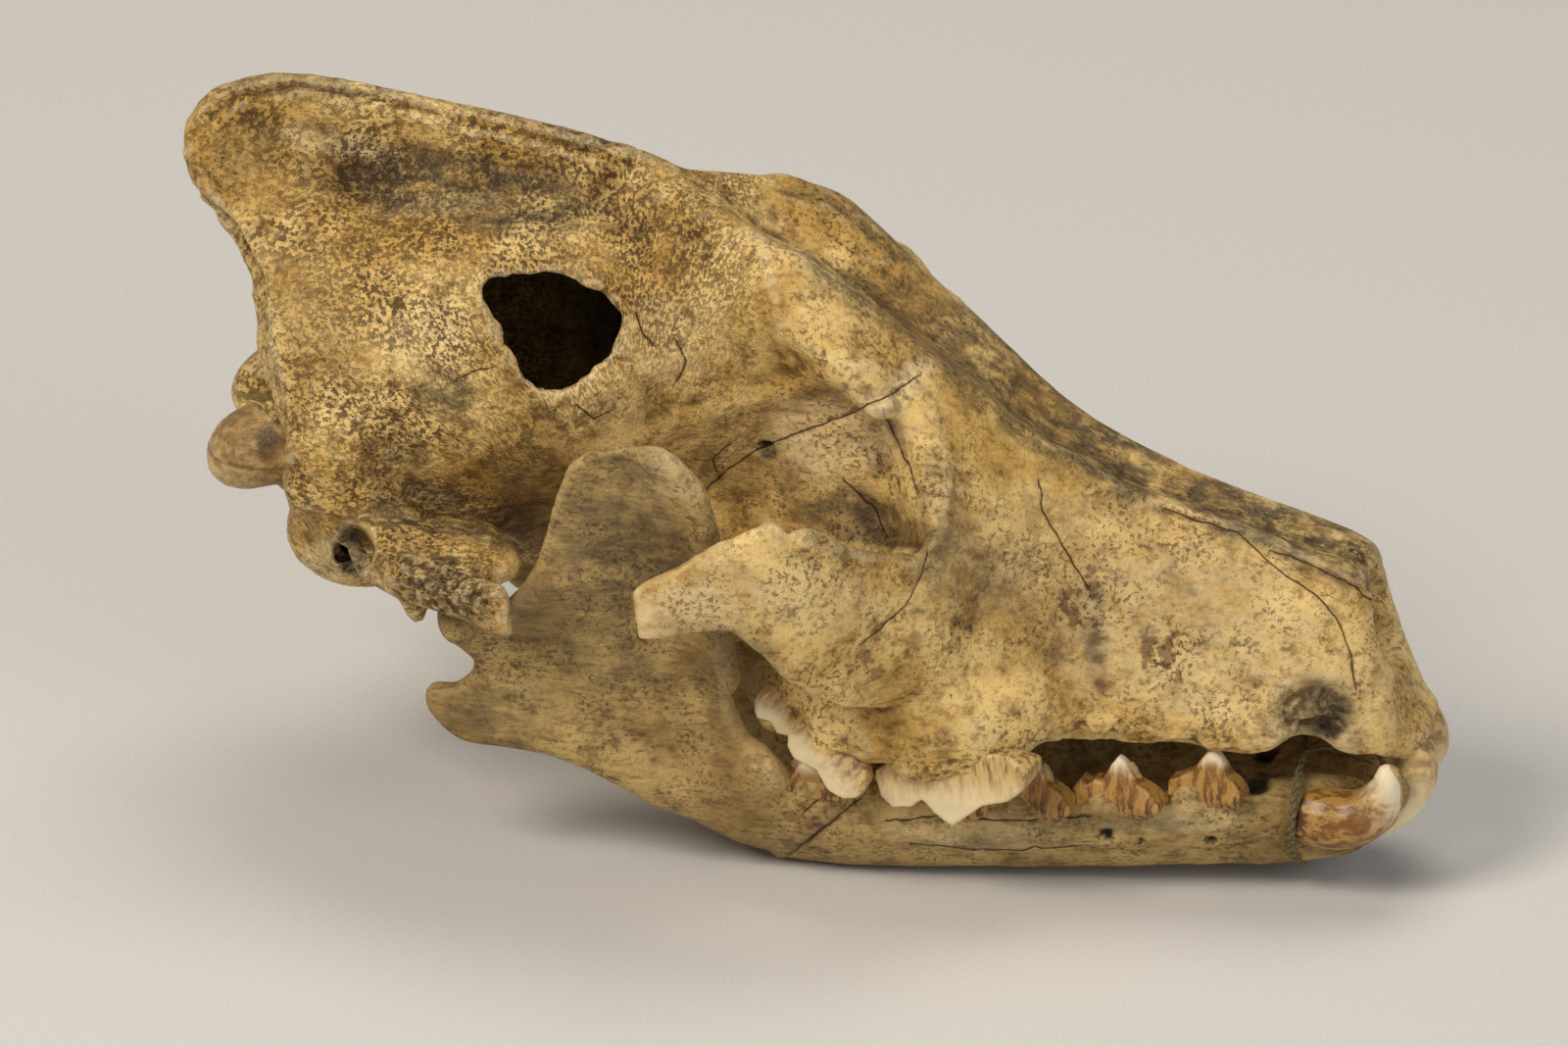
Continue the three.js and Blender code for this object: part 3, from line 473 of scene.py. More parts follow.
@dataclass(frozen=True)
class ChippedEdge:
    """An edge broken back unevenly along a line of the photograph."""

    line: tuple[Point2, ...]
    push: Point3  # millimetres that the deepest chip moves the edge
    reach: float = 2.6  # millimetres from the line to where the surface stays
    keep: float = 0.35  # share of the push that the whole edge gets


def line_distance(pixels: np.ndarray, line: Sequence[Point2]) -> tuple[np.ndarray, np.ndarray]:
    """Measures from pixels to a bent line.

    Args:
        pixels: places in the photograph.
        line: the line's corners.

    Returns:
        The distance in millimetres, and the same with a sign for the line's side.
    """
    nearest = np.full(len(pixels), 1e9)
    signed = np.full(len(pixels), 1e9)
    for first, second in zip(line, line[1:]):
        a = np.array(first, float)
        along = np.array(second, float) - a
        part = np.clip((pixels - a) @ along / (along @ along), 0, 1)
        gap = pixels - a - part[:, None] * along
        length = np.hypot(gap[:, 0], gap[:, 1])
        side = np.sign(along[0] * gap[:, 1] - along[1] * gap[:, 0])
        closer = length < nearest
        nearest[closer] = length[closer]
        signed[closer] = (length * side)[closer]
    scale = VIEW.pixels_per_mm
    return nearest / scale, signed / scale


def patch_reach(pixels: np.ndarray, patch: Patch) -> np.ndarray:
    """Gives how far pixels lie from a patch's middle, as a share of its half size.

    Args:
        pixels: places in the photograph.
        patch: the patch.

    Returns:
        0 in the middle and 1 on the edge, for each pixel.
    """
    angle = math.radians(patch.turn)
    dx = pixels[:, 0] - patch.x
    dy = pixels[:, 1] - patch.y
    u = (dx * math.cos(angle) + dy * math.sin(angle)) / patch.wide
    v = (dy * math.cos(angle) - dx * math.sin(angle)) / patch.high
    return np.hypot(u, v)


def patch_weight(pixels: np.ndarray, patches: Iterable[Patch], edge: np.ndarray) -> np.ndarray:
    """Gives how strongly the patches cover each pixel.

    Args:
        pixels: places in the photograph.
        patches: the patches.
        edge: noise that makes the edges uneven.

    Returns:
        One weight from 0 to 1 for each pixel.
    """
    total = np.zeros(len(pixels))
    for patch in patches:
        reach = patch_reach(pixels, patch) + edge * 0.35
        total = np.maximum(total, smooth_step(reach, 1.15, 0.6) * patch.strength)
    return total


def soft_patch(pixels: np.ndarray, patch: Patch) -> np.ndarray:
    """Gives a weight that fades smoothly from a patch's middle to its edge.

    Args:
        pixels: places in the photograph.
        patch: the patch.

    Returns:
        One weight for each pixel.
    """
    return np.exp(-1.2 * patch_reach(pixels, patch) ** 3) * patch.strength


CRANIUM_STROKES = (
    # the groove below the rim of the sagittal crest
    Stroke(
        ((215, 120), (240, 98), (300, 86), (390, 102), (470, 122), (550, 140), (640, 166)),
        1.1,
        -0.9,
        0.7,
    ),
    # the temporal line, down to the process behind the eye
    Stroke(
        ((640, 150), (712, 189), (759, 218), (782, 260), (791, 304), (800, 345), (830, 360), (905, 385)),
        1.5,
        0.7,
        0.5,
    ),
    # the ridge between the eye's hollow and the temple
    Stroke(((900, 375), (850, 385), (800, 395), (750, 415), (700, 430), (600, 470)), 2.2, 0.6, 0.4),
    # the valley along the middle of the brow
    Stroke(
        ((700, 175), (759, 218), (823, 247), (877, 279), (919, 320), (999, 371), (1078, 438)),
        2.6,
        -0.9,
        0.3,
    ),
    # the rough back edge
    Stroke(
        ((186, 130), (200, 180), (228, 215), (255, 280), (275, 320), (290, 390), (300, 500)),
        1.6,
        0.6,
        1.6,
    ),
    # the lower edge of the eye's hollow
    Stroke(((765, 520), (800, 545), (850, 565), (930, 574)), 1.6, 0.5, 0.3),
    # the front edge of the eye's hollow
    Stroke(((930, 395), (955, 430), (965, 480), (965, 540), (940, 572)), 1.4, 0.5, 0.5),
    # the hollow of the snout above the missing teeth
    Stroke(((1120, 600), (1118, 650), (1125, 700)), 2.6, -1.2, 0.4),
    # the swelling of the canine's root, and the hollow behind it
    Stroke(((1230, 560), (1300, 620), (1345, 690)), 4.0, 0.5, 0.2),
    Stroke(((1190, 560), (1240, 640), (1290, 720)), 3.5, -0.5, 0.2),
    # the long line of the nose's roof
    Stroke(((1150, 478), (1240, 505), (1330, 538), (1400, 572)), 1.6, -1.0, 0.5),
    Stroke(((1190, 520), (1265, 545), (1320, 575), (1385, 600)), 1.2, -0.4, 0.5),
    # the groove beside the nasal bones, and its ragged upper edge
    Stroke(
        ((1035, 408), (1081, 442), (1173, 497), (1250, 520), (1310, 540), (1385, 578)),
        1.9,
        -0.9,
        0.4,
    ),
    Stroke(
        ((1040, 396), (1100, 436), (1154, 470), (1219, 486), (1310, 516), (1400, 550)),
        1.3,
        0.7,
        0.9,
    ),
    # the ridge above the molars, and the hollow over it
    Stroke(((880, 650), (860, 700), (880, 760)), 3.0, 0.8, 0.3),
    Stroke(((900, 640), (940, 625), (990, 640)), 2.5, -0.7, 0.3),
)

CRANIUM_SWELLS = (
    # the side of the braincase runs smoothly down behind the root of the cheekbone
    Swell(Patch(372, 470, 44, 62, -25), 2.6),
    Swell(Patch(470, 528, 80, 30, 14), 2.4),
    # the bone draws back under the crowns of the teeth
    Swell(Patch(850, 776, 50, 20, 44), -1.4),
    Swell(Patch(797, 724, 22, 34, -20), -1.2),
    Swell(Patch(975, 806, 80, 22, 4), -0.8),
    # and behind the third incisor
    Swell(Patch(1440, 818, 30, 46, 22), -2.0),
    # the dark recess inside the front of the eye
    Swell(Patch(905, 535, 60, 26, 28), -1.6),
    # the low dome of the braincase
    Swell(Patch(450, 350, 110, 70, 0), 0.7),
    # the hollow in front of the eye
    Swell(Patch(1000, 600, 60, 50, 20), -0.9),
    Swell(Patch(890, 690, 46, 50, 0), -1.0),
    # the cheek's round edge under the eye
    Swell(Patch(830, 610, 90, 22, 12), 0.6),
)

CRANIUM_FILLED = (
    # the wall of the braincase runs smoothly on to the root of the cheekbone
    Patch(470, 528, 88, 34, 14, 1.0),
    Patch(378, 468, 44, 62, -20, 1.0),
)

CRANIUM_CHIPS = (
    ChippedEdge(((1066, 772), (1090, 762), (1128, 758), (1185, 758), (1205, 764)), (0, 0, 5.5), 3.6, 0.5),
    ChippedEdge(((1200, 764), (1290, 768), (1310, 765), (1380, 768)), (0, 0, 0.8), 2.0, 0.1),
    ChippedEdge(
        ((200, 180), (228, 215), (255, 280), (275, 320), (290, 390), (300, 500)),
        (1.8, 0, 0),
        2.4,
        0.2,
    ),
    ChippedEdge(((1160, 470), (1230, 492), (1320, 525), (1405, 560)), (0, 0, -1.6), 2.2, 0.1),
    ChippedEdge(((1407, 560), (1412, 600), (1418, 650)), (-1.8, 0, 0), 2.2, 0.1),
    ChippedEdge(((906, 371), (948, 371), (948, 409)), (-1.2, 0.4, 0), 2.2, 0.2),
)

CRANIUM_SUTURES = (
    (
        (1190, 520), (1230, 533), (1265, 545), (1300, 578),
        (1340, 605), (1365, 632), (1376, 660), (1383, 700),
    ),
    ((1300, 562), (1345, 580), (1385, 600), (1412, 625)),
    ((945, 565), (938, 590), (925, 615), (900, 640), (880, 655)),
    ((1060, 490), (1062, 515), (1075, 540), (1095, 575), (1110, 600)),
    ((1000, 372), (1040, 405), (1095, 440), (1150, 478), (1240, 505), (1330, 538), (1400, 572)),
)

CRANIUM_CRACKS = (
    ((470, 385), (484, 378), (500, 375)),
    ((650, 320), (656, 340), (665, 350)),
    ((720, 500), (745, 478), (780, 455), (822, 440), (870, 420), (905, 405), (935, 385)),
    ((735, 490), (728, 468), (745, 452)),
    ((590, 415), (607, 428), (622, 420)),
    ((905, 430), (925, 470), (935, 500)),
    ((690, 345), (700, 370), (690, 390)),
    ((860, 490), (890, 515), (905, 545)),
    ((380, 610), (400, 640), (430, 660)),
)

HOLE_RIM = (
    (500, 290), (515, 283), (545, 280), (560, 278), (585, 283), (598, 295), (620, 303), (635, 318),
    (640, 335), (637, 350), (615, 370), (605, 385), (585, 398), (570, 402), (555, 395), (535, 375),
    (520, 350), (510, 325), (500, 305), (500, 290),
)

CRANIUM_GREY = (
    Patch(470, 190, 175, 42, 10, 0.95),
    Patch(250, 150, 50, 40, -40, 0.4),
    Patch(470, 528, 110, 32, 8, 0.9),
    Patch(1300, 545, 130, 24, 25, 1.0),
    Patch(1040, 400, 150, 44, 42, 0.8),
    Patch(300, 90, 110, 12, 2, 0.7),
    Patch(560, 128, 110, 12, 16, 0.6),
    Patch(455, 405, 36, 26, 0, 0.8),
    Patch(400, 470, 40, 40, 20, 0.4),
    Patch(520, 500, 70, 34, -25, 0.6),
    Patch(880, 280, 150, 40, 40, 0.75),
    Patch(1010, 395, 120, 24, 40, 0.8),
    Patch(960, 560, 50, 26, 0, 0.45),
    Patch(1290, 534, 140, 17, 22, 1.0),
    Patch(1110, 462, 100, 20, 37, 1.0),
    Patch(905, 250, 130, 50, 40, 0.6),
    Patch(470, 192, 150, 26, 8, 1.0),
    Patch(1120, 650, 18, 58, 0, 0.7),
    Patch(1341, 733, 46, 46, 0, 1.0),
    Patch(450, 596, 78, 36, 18, 0.9),
    Patch(850, 520, 70, 42, 30, 0.8),
    Patch(750, 470, 60, 50, 0, 0.45),
    Patch(960, 520, 30, 55, 0, 0.7),
    Patch(640, 420, 60, 30, -30, 0.35),
    Patch(990, 590, 50, 40, 0, 0.5),
)

CRANIUM_PALE = (
    Patch(705, 625, 75, 42, -15, 0.75),
    Patch(800, 600, 110, 46, 10, 0.35),
    Patch(926, 390, 30, 18, -40, 1.0),
    Patch(860, 440, 80, 50, 0, 0.75),
    Patch(1210, 640, 160, 100, 10, 0.5),
    Patch(450, 345, 60, 40, 0, 0.35),
    Patch(690, 340, 60, 50, 0, 0.3),
    Patch(230, 240, 10, 40, -20, 0.7),
    Patch(1160, 480, 16, 9, 10, 0.9),
    Patch(1405, 565, 10, 12, 0, 0.8),
    Patch(1150, 590, 230, 90, 15, 0.3),
    Patch(335, 575, 44, 26, 0, 0.7),
    Patch(1340, 720, 120, 60, 0, 0.25),
    Patch(340, 145, 70, 16, 10, 0.55),
    Patch(450, 210, 70, 14, -5, 0.3),
    Patch(1090, 760, 60, 12, 0, 0.4),
)

CRANIUM_PALE_LINES = (
    HOLE_RIM,
    ((385, 592), (430, 632), (470, 640), (522, 632)),
    ((650, 602), (656, 655)),
    ((205, 185), (228, 215), (240, 250), (255, 280)),
)

CRANIUM_RUST = (
    Patch(248, 458, 56, 50, 0, 1.0),
    Patch(560, 470, 120, 60, -10, 0.35),
    Patch(320, 330, 60, 110, -20, 0.3),
    Patch(1050, 620, 90, 70, 20, 0.25),
)

# painted shade: dark patches in the ear opening, small openings, recesses round the eye and teeth, the
# empty canine socket and beside the condyle
CRANIUM_DARK = (
    Patch(358, 560, 18, 28, 0, 0.72),
    Patch(785, 462, 12, 7, -15, 0.9),
    Patch(905, 540, 58, 22, 28, 0.42),
    Patch(955, 560, 18, 34, 20, 0.4),
    Patch(740, 680, 60, 46, 0, 0.5),
    Patch(1352, 728, 34, 36, 0, 0.5),
    Patch(885, 545, 70, 22, 22, 0.35),
    Patch(272, 452, 14, 22, 0, 0.6),
)

CRANIUM_SPOTS = (
    Patch(1110, 615, 50, 34, -40, 1.0),
    Patch(1195, 668, 56, 34, -25, 0.9),
    Patch(905, 668, 40, 36, 0, 0.7),
    Patch(960, 640, 40, 26, 0, 0.6),
    Patch(880, 395, 60, 26, 10, 0.6),
    Patch(560, 435, 70, 26, -10, 0.8),
    Patch(390, 440, 90, 60, 40, 0.7),
    Patch(1030, 560, 70, 60, 0, 0.4),
    Patch(840, 370, 50, 26, 0, 0.8),
    Patch(700, 500, 60, 40, 0, 0.6),
    Patch(480, 470, 120, 50, 10, 0.5),
)

CRANIUM_BROKEN = (
    Patch(455, 598, 75, 34, 18, 1.0),
    Patch(1341, 733, 38, 38, 0, 1.0),
    Patch(1432, 650, 20, 50, 0, 0.9),
    Patch(1290, 515, 140, 16, 24, 0.8),
    Patch(925, 390, 24, 16, -40, 0.5),
    Patch(1235, 760, 170, 14, 0, 0.6),
    Patch(985, 785, 50, 12, 0, 0.7),
    Patch(238, 250, 14, 60, -20, 0.6),
    Patch(1400, 565, 24, 10, 30, 1.0),
)

MANDIBLE_STROKES = (
    # the rounded front edge of the coronoid process
    Stroke(
        ((668, 470), (700, 490), (720, 530), (728, 590), (735, 650), (750, 720), (790, 790)),
        3.4,
        1.5,
        0.15,
    ),
    # its hollow
    Stroke(((640, 500), (650, 560), (660, 620), (690, 700)), 7.5, -2.0, 0.15),
    Stroke(((655, 510), (675, 545), (684, 580)), 2.0, 0.7, 0.2),
    # the step under the hollow
    Stroke(((500, 640), (560, 598), (600, 592), (650, 596)), 2.4, 1.2, 0.25),
    Stroke(((500, 660), (540, 695), (600, 735), (680, 770)), 3.0, -1.3, 0.3),
    # the low ridge towards the angle
    Stroke(((470, 720), (540, 735), (620, 765), (700, 815)), 3.0, 0.5, 0.3),
    # the lengthwise swell of the body
    Stroke(((860, 835), (980, 850), (1120, 852), (1300, 850)), 3.4, 0.4, 0.3),
    Stroke(((900, 868), (1050, 874), (1250, 874)), 2.0, -0.35, 0.4),
    # the rough band where the pieces were set together
    Stroke(((872, 806), (835, 838), (795, 872)), 1.6, 0.5, 1.4),
)

MANDIBLE_SWELLS = (
    # the bone draws back under the canine
    Swell(Patch(1388, 826, 52, 40, -25), -1.9),
    # the swelling below the cheek teeth
    Swell(Patch(960, 850, 120, 18, 0), 0.7),
    Swell(Patch(1240, 840, 90, 14, 0), 0.5),
)

MANDIBLE_FORAMINA = (
    Patch(1130, 851, 7, 5, 10),
    Patch(1236, 857, 7, 4, 10),
    Patch(1284, 801, 14, 10, 0),
    Patch(1165, 858, 4, 3, 0),
)

MANDIBLE_CRACKS = (
    ((878, 815), (850, 838), (806, 872)),
    ((905, 838), (960, 832), (1040, 838), (1110, 833)),
    ((930, 862), (1010, 868), (1100, 864)),
    ((820, 830), (840, 812), (860, 803)),
)

MANDIBLE_GREY = (
    Patch(640, 560, 80, 100, 0, 0.75),
    Patch(500, 725, 60, 30, 10, 0.6),
    Patch(600, 650, 110, 50, 30, 0.55),
    Patch(1150, 840, 90, 14, 0, 0.5),
    Patch(740, 690, 30, 60, 0, 0.6),
    Patch(1000, 860, 90, 12, 0, 0.3),
    Patch(1400, 845, 40, 30, 0, 0.5),
)

MANDIBLE_PALE = (
    Patch(1000, 850, 90, 20, 0, 0.35),
    Patch(690, 480, 30, 30, 0, 0.3),
    Patch(1220, 835, 60, 16, 0, 0.4),
    Patch(930, 845, 50, 18, 0, 0.25),
)

MANDIBLE_RUST = (
    Patch(835, 840, 50, 13, -40, 0.9),
    Patch(700, 760, 90, 50, 30, 0.3),
    Patch(1020, 815, 60, 12, 0, 0.5),
)

MANDIBLE_SPOTS = (
    Patch(650, 570, 50, 40, 0, 0.5),
    Patch(720, 620, 30, 70, 0, 0.3),
)

MANDIBLE_BROKEN = (
    Patch(1405, 848, 34, 22, 0, 0.9),
    Patch(835, 840, 50, 10, -40, 0.8),
    Patch(1240, 815, 160, 7, 0, 0.5),
)


# Bones


@dataclass
class Bone:
    """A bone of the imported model, made smooth, carved and dressed."""

    node: str
    title: str
    slot: Slot
    seed: int
    rounds: int = 5
    voxel: float = BONE_VOXEL
    most_triangles: int = 190_000
    strokes: tuple[Stroke, ...] = ()
    foramina: tuple[Patch, ...] = ()
    swells: tuple[Swell, ...] = ()
    filled: tuple[Patch, ...] = ()
    chips: tuple[ChippedEdge, ...] = ()
    sutures: tuple[tuple[Point2, ...], ...] = ()
    cracks: tuple[tuple[Point2, ...], ...] = ()
    grey: tuple[Patch, ...] = ()
    pale: tuple[Patch, ...] = ()
    rust: tuple[Patch, ...] = ()
    # patches of painted shade in openings and recesses
    dark: tuple[Patch, ...] = ()
    spots: tuple[Patch, ...] = ()
    broken: tuple[Patch, ...] = ()
    pale_lines: tuple[tuple[Point2, ...], ...] = ()
    grain: Point3 = (0.2, 1.0, 1.0)

    def build(self, finish: "BoneFinish") -> bpy.types.Object:
        """Makes the piece and dresses it.

        Args:
            finish: the bone's finish.

        Returns:
            The finished piece.
        """
        piece = self.copy_node()
        surface = Surface(piece)
        surface.relax(self.rounds)
        self.carve(surface)
        self.thin_out(piece)
        surface = Surface(piece)
        self.mark(surface)
        dress(piece, finish.material(), [self.node])
        return piece

    def copy_node(self) -> bpy.types.Object:
        """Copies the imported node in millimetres, joins its loose faces and remeshes it evenly."""
        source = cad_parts[self.node]
        piece = bpy.data.objects.new(self.title, source.data.copy())
        bpy.context.scene.collection.objects.link(piece)
        piece.data.materials.clear()
        scale_mesh(piece, 1 / MM)
        bpy.ops.object.mode_set(mode="EDIT")
        bpy.ops.mesh.select_all(action="SELECT")
        bpy.ops.mesh.remove_doubles(threshold=DOUBLES_GAP)
        bpy.ops.object.mode_set(mode="OBJECT")
        apply_modifier(piece, "SUBSURF", levels=2, render_levels=2)
        apply_modifier(piece, "REMESH", mode="VOXEL", voxel_size=self.voxel)
        return piece

    def thin_out(self, piece: bpy.types.Object) -> None:
        """Brings the piece under its number of triangles."""
        count = triangle_count(piece)
        if count > self.most_triangles:
            apply_modifier(piece, "DECIMATE", ratio=self.most_triangles / count)

    def carve(self, surface: Surface) -> None:
        """Carves the marks that the photograph shows and the wear of old bone.

        Args:
            surface: the bone's surface.
        """
        sight = PhotoSight(surface, folded=True)
        if self.filled:
            shares = [soft_patch(sight.pixels, patch) for patch in self.filled]
            surface.fill(np.max(shares, axis=0) * sight.near)
        amounts = np.zeros(surface.count)
        for number, stroke in enumerate(self.strokes):
            gap, _ = line_distance(sight.pixels, stroke.line)
            vary = 1 + stroke.rough * layered_noise(surface.points, 4.0, self.seed + number)
            amounts += stroke.height * vary * np.exp(-((gap / stroke.width) ** 2)) * sight.seen
        for line in (*self.sutures, *self.cracks):
            gap, _ = line_distance(sight.pixels, line)
            amounts -= LINE_DEPTH * np.exp(-((gap / LINE_WIDTH) ** 2)) * sight.seen
        no_edge = np.zeros(surface.count)
        amounts -= FORAMEN_DEPTH * patch_weight(sight.pixels, self.foramina, no_edge) * sight.seen
        edge = layered_noise(surface.points, 5.0, self.seed)
        for swell in self.swells:
            amounts += swell.height * soft_patch(sight.pixels, swell.patch) * sight.seen
        torn = patch_weight(sight.pixels, self.broken, edge) * sight.seen
        crumbs = layered_noise(surface.points, 1.5, self.seed + 50)
        amounts += torn * (crumbs * CRUMB_HEIGHT - CRUMB_DEPTH)
        amounts += WAVE_HEIGHT * layered_noise(surface.points, 13.0, self.seed + 60)
        fibres = layered_noise(surface.points * np.array(self.grain), 1.9, self.seed + 70)
        amounts += FIBRE_HEIGHT * fibres * (1 - torn)
        moves = self.chip_edges(surface, sight)
        surface.points = surface.points + moves
        surface.push(amounts + self.extra_carving(surface, sight))
        surface.relax(1)
        surface.points[:, 2] = np.maximum(surface.points[:, 2], 0.0)
        surface.write()

    def chip_edges(self, surface: Surface, sight: PhotoSight) -> np.ndarray:
        """Gives the moves that break the edges back unevenly, in millimetres.

        Args:
            surface: the bone's surface.
            sight: where its points show in the photograph.

        Returns:
            One move for each point.
        """
        moves = np.zeros((surface.count, 3))
        for number, chip in enumerate(self.chips):
            gap, _ = line_distance(sight.pixels, chip.line)
            ragged = layered_noise(surface.points, 3.6, self.seed + 140 + number, 4)
            share = np.clip(chip.keep + ragged * 0.75, 0, 1)
            near = np.exp(-((gap / chip.reach) ** 2)) * sight.near
            moves += (share * near)[:, None] * np.array(chip.push)
        return moves

    def extra_carving(self, surface: Surface, sight: PhotoSight) -> np.ndarray:
        """Gives further moves along the normals, in millimetres."""
        return np.zeros(surface.count)

    def extra_dark(self, surface: Surface) -> np.ndarray:
        """Gives further painted shade, from 0 to 1."""
        return np.zeros(surface.count)

    def mark(self, surface: Surface) -> None:
        """Keeps what the finish needs to know of each point as attributes.

        Args:
            surface: the bone's surface.
        """
        both = PhotoSight(surface, folded=True)
        near = PhotoSight(surface, folded=False)
        edge = layered_noise(surface.points, 9.0, self.seed + 80)
        fine_edge = layered_noise(surface.points, 3.0, self.seed + 90)
        # hollow depths: the finish paints shade in the hollows and pales the ridges
        surface.store("cavity", np.clip(surface.hollows(3) / 0.12, -1, 1))
        surface.store("hollow", np.clip(surface.hollows(40) / 1.2, -1, 1))
        surface.store("grey", patch_weight(both.pixels, self.grey, edge) * both.seen)
        surface.store("pale", self.pale_share(surface, both, near, fine_edge))
        surface.store("rust", patch_weight(both.pixels, self.rust, edge) * both.seen)
        # painted shade: the dark patches and the braincase's inside
        stain_and_shade = patch_weight(both.pixels, self.dark, fine_edge) * both.seen
        surface.store("dark", np.maximum(stain_and_shade, self.extra_dark(surface)))
        surface.store("spots", patch_weight(both.pixels, self.spots, edge) * both.seen)
        surface.store("broken", patch_weight(both.pixels, self.broken, fine_edge) * both.seen)
        signed = np.full(surface.count, 1e9)
        marked = np.zeros(surface.count)
        for lines, sight in ((self.sutures, both), (self.cracks, near)):
            for line in lines:
                gap, side = line_distance(sight.pixels, line)
                closer = (gap < np.abs(signed)) & (sight.seen > 0.3)
                signed[closer] = side[closer]
                marked = np.maximum(marked, smooth_step(gap, 2.0, 1.3) * sight.seen)
        wander = layered_noise(surface.points, 2.6, self.seed + 100) * 0.55
        surface.store("seam_gap", np.clip(signed, -4, 4) + wander)
        surface.store("seam", marked)
        self.mark_rays(surface)

    def pale_share(
        self, surface: Surface, both: PhotoSight, near: PhotoSight, edge: np.ndarray
    ) -> np.ndarray:
        """Gives where fresh pale bone shows, from 0 to 1.

        Args:
            surface: the bone's surface; not used.
            both: the sight with the left side folded on the right.
            near: the sight of the right side alone.
            edge: noise that makes the edges uneven.

        Returns:
            One share for each point.
        """
        share = patch_weight(both.pixels, self.pale, edge) * both.seen
        for line in self.pale_lines:
            gap, _ = line_distance(near.pixels, line)
            share = np.maximum(share, np.exp(-((gap / 0.4) ** 2)) * np.clip(0.7 + edge, 0, 1) * near.near)
        return share

    def mark_rays(self, surface: Surface) -> None:
        """Keeps the places by which the grain runs, in millimetres."""
        surface.store("rays", surface.points * np.array(self.grain))


@dataclass
class Cranium(Bone):
    """The skull without its lower jaw."""

    node: str = "cranium"
    title: str = "cranium_surface"
    slot: Slot = Slot.CRANIUM
    seed: int = 11
    strokes: tuple[Stroke, ...] = CRANIUM_STROKES
    foramina: tuple[Patch, ...] = (
        Patch(362, 560, 19, 25, 10, 2.2),
        Patch(780, 457, 9, 5, -10, 1.8),
    )
    swells: tuple[Swell, ...] = CRANIUM_SWELLS
    filled: tuple[Patch, ...] = CRANIUM_FILLED
    chips: tuple[ChippedEdge, ...] = CRANIUM_CHIPS
    sutures: tuple[tuple[Point2, ...], ...] = CRANIUM_SUTURES
    cracks: tuple[tuple[Point2, ...], ...] = CRANIUM_CRACKS
    grey: tuple[Patch, ...] = CRANIUM_GREY
    pale: tuple[Patch, ...] = CRANIUM_PALE
    rust: tuple[Patch, ...] = CRANIUM_RUST
    dark: tuple[Patch, ...] = CRANIUM_DARK
    spots: tuple[Patch, ...] = CRANIUM_SPOTS
    broken: tuple[Patch, ...] = CRANIUM_BROKEN
    pale_lines: tuple[tuple[Point2, ...], ...] = CRANIUM_PALE_LINES
    ray_centre: Point2 = (-30.0, 72.0)
    socket: Patch = Patch(1341, 727, 40, 34)
    socket_depth: float = 2.2
    hole_middle: Point2 = (568, 340)
    cavity_centre: Point3 = (-58.0, 0.0, 92.0)
    cavity_half: Point3 = (40.0, 27.0, 24.0)

    def extra_carving(self, surface: Surface, sight: PhotoSight) -> np.ndarray:
        """Sinks the upper canine's empty socket and roughens the braincase in rays."""
        calm = np.zeros(surface.count)
        sunk = patch_weight(sight.pixels, (self.socket,), calm) * sight.seen
        rays = self.ray_places(surface)
        ribs = layered_noise(rays, 1.7, self.seed + 31)
        return ribs * RIB_HEIGHT * self.ray_share(surface) * sight.seen - sunk * self.socket_depth

    def chip_edges(self, surface: Surface, sight: PhotoSight) -> np.ndarray:
        """Breaks the edges back, and the rim of the hole in the braincase too.

        Args:
            surface: the bone's surface.
            sight: where its points show in the photograph.

        Returns:
            One move for each point.
        """
        moves = super().chip_edges(surface, sight)
        gap, _ = line_distance(sight.pixels, HOLE_RIM)
        back = VIEW.axes()[2]
        away = surface.points - np.array(VIEW.place(self.hole_middle, -36.0))
        away -= (away @ back)[:, None] * back
        away /= np.linalg.norm(away, axis=1)[:, None] + 1e-6
        ragged = layered_noise(surface.points * np.array((1, 0.2, 1)), 3.0, self.seed + 7, 3)
        near = np.exp(-((gap / 1.9) ** 2)) * (surface.points[:, 1] < -20)
        return moves + (ragged * near * 1.7)[:, None] * away

    def ray_places(self, surface: Surface) -> np.ndarray:
        """Gives places in which the grain of the braincase runs along one axis."""
        dx = surface.points[:, 0] - self.ray_centre[0]
        dz = surface.points[:, 2] - self.ray_centre[1]
        angle = np.arctan2(dz, dx)
        away = np.hypot(dx, dz)
        return np.stack((angle * 52.0, away * 0.6, surface.points[:, 1] * 0.8), axis=1)

    def ray_share(self, surface: Surface) -> np.ndarray:
        """Gives where the grain runs in rays, from 0 to 1."""
        dx = surface.points[:, 0] - self.ray_centre[0]
        dz = surface.points[:, 2] - self.ray_centre[1]
        away = np.hypot(dx, dz)
        behind = smooth_step(surface.points[:, 0], 0.0, -25.0)
        return behind * smooth_step(away, 12.0, 32.0)

    def extra_dark(self, surface: Surface) -> np.ndarray:
        """Paints shade inside the braincase: its inward-facing walls go dark."""
        local = (surface.points - np.array(self.cavity_centre)) / np.array(self.cavity_half)
        away = np.sqrt((local**2).sum(axis=1))
        inward = (local * surface.normals).sum(axis=1) < -0.05
        return smooth_step(away, 1.25, 1.0) * surface.blur(inward.astype(float), 1)

    def mark_rays(self, surface: Surface) -> None:
        """Keeps the rays of the braincase and where they hold."""
        share = self.ray_share(surface)
        surface.store("rays", self.ray_places(surface))
        surface.store("ray_share", share)


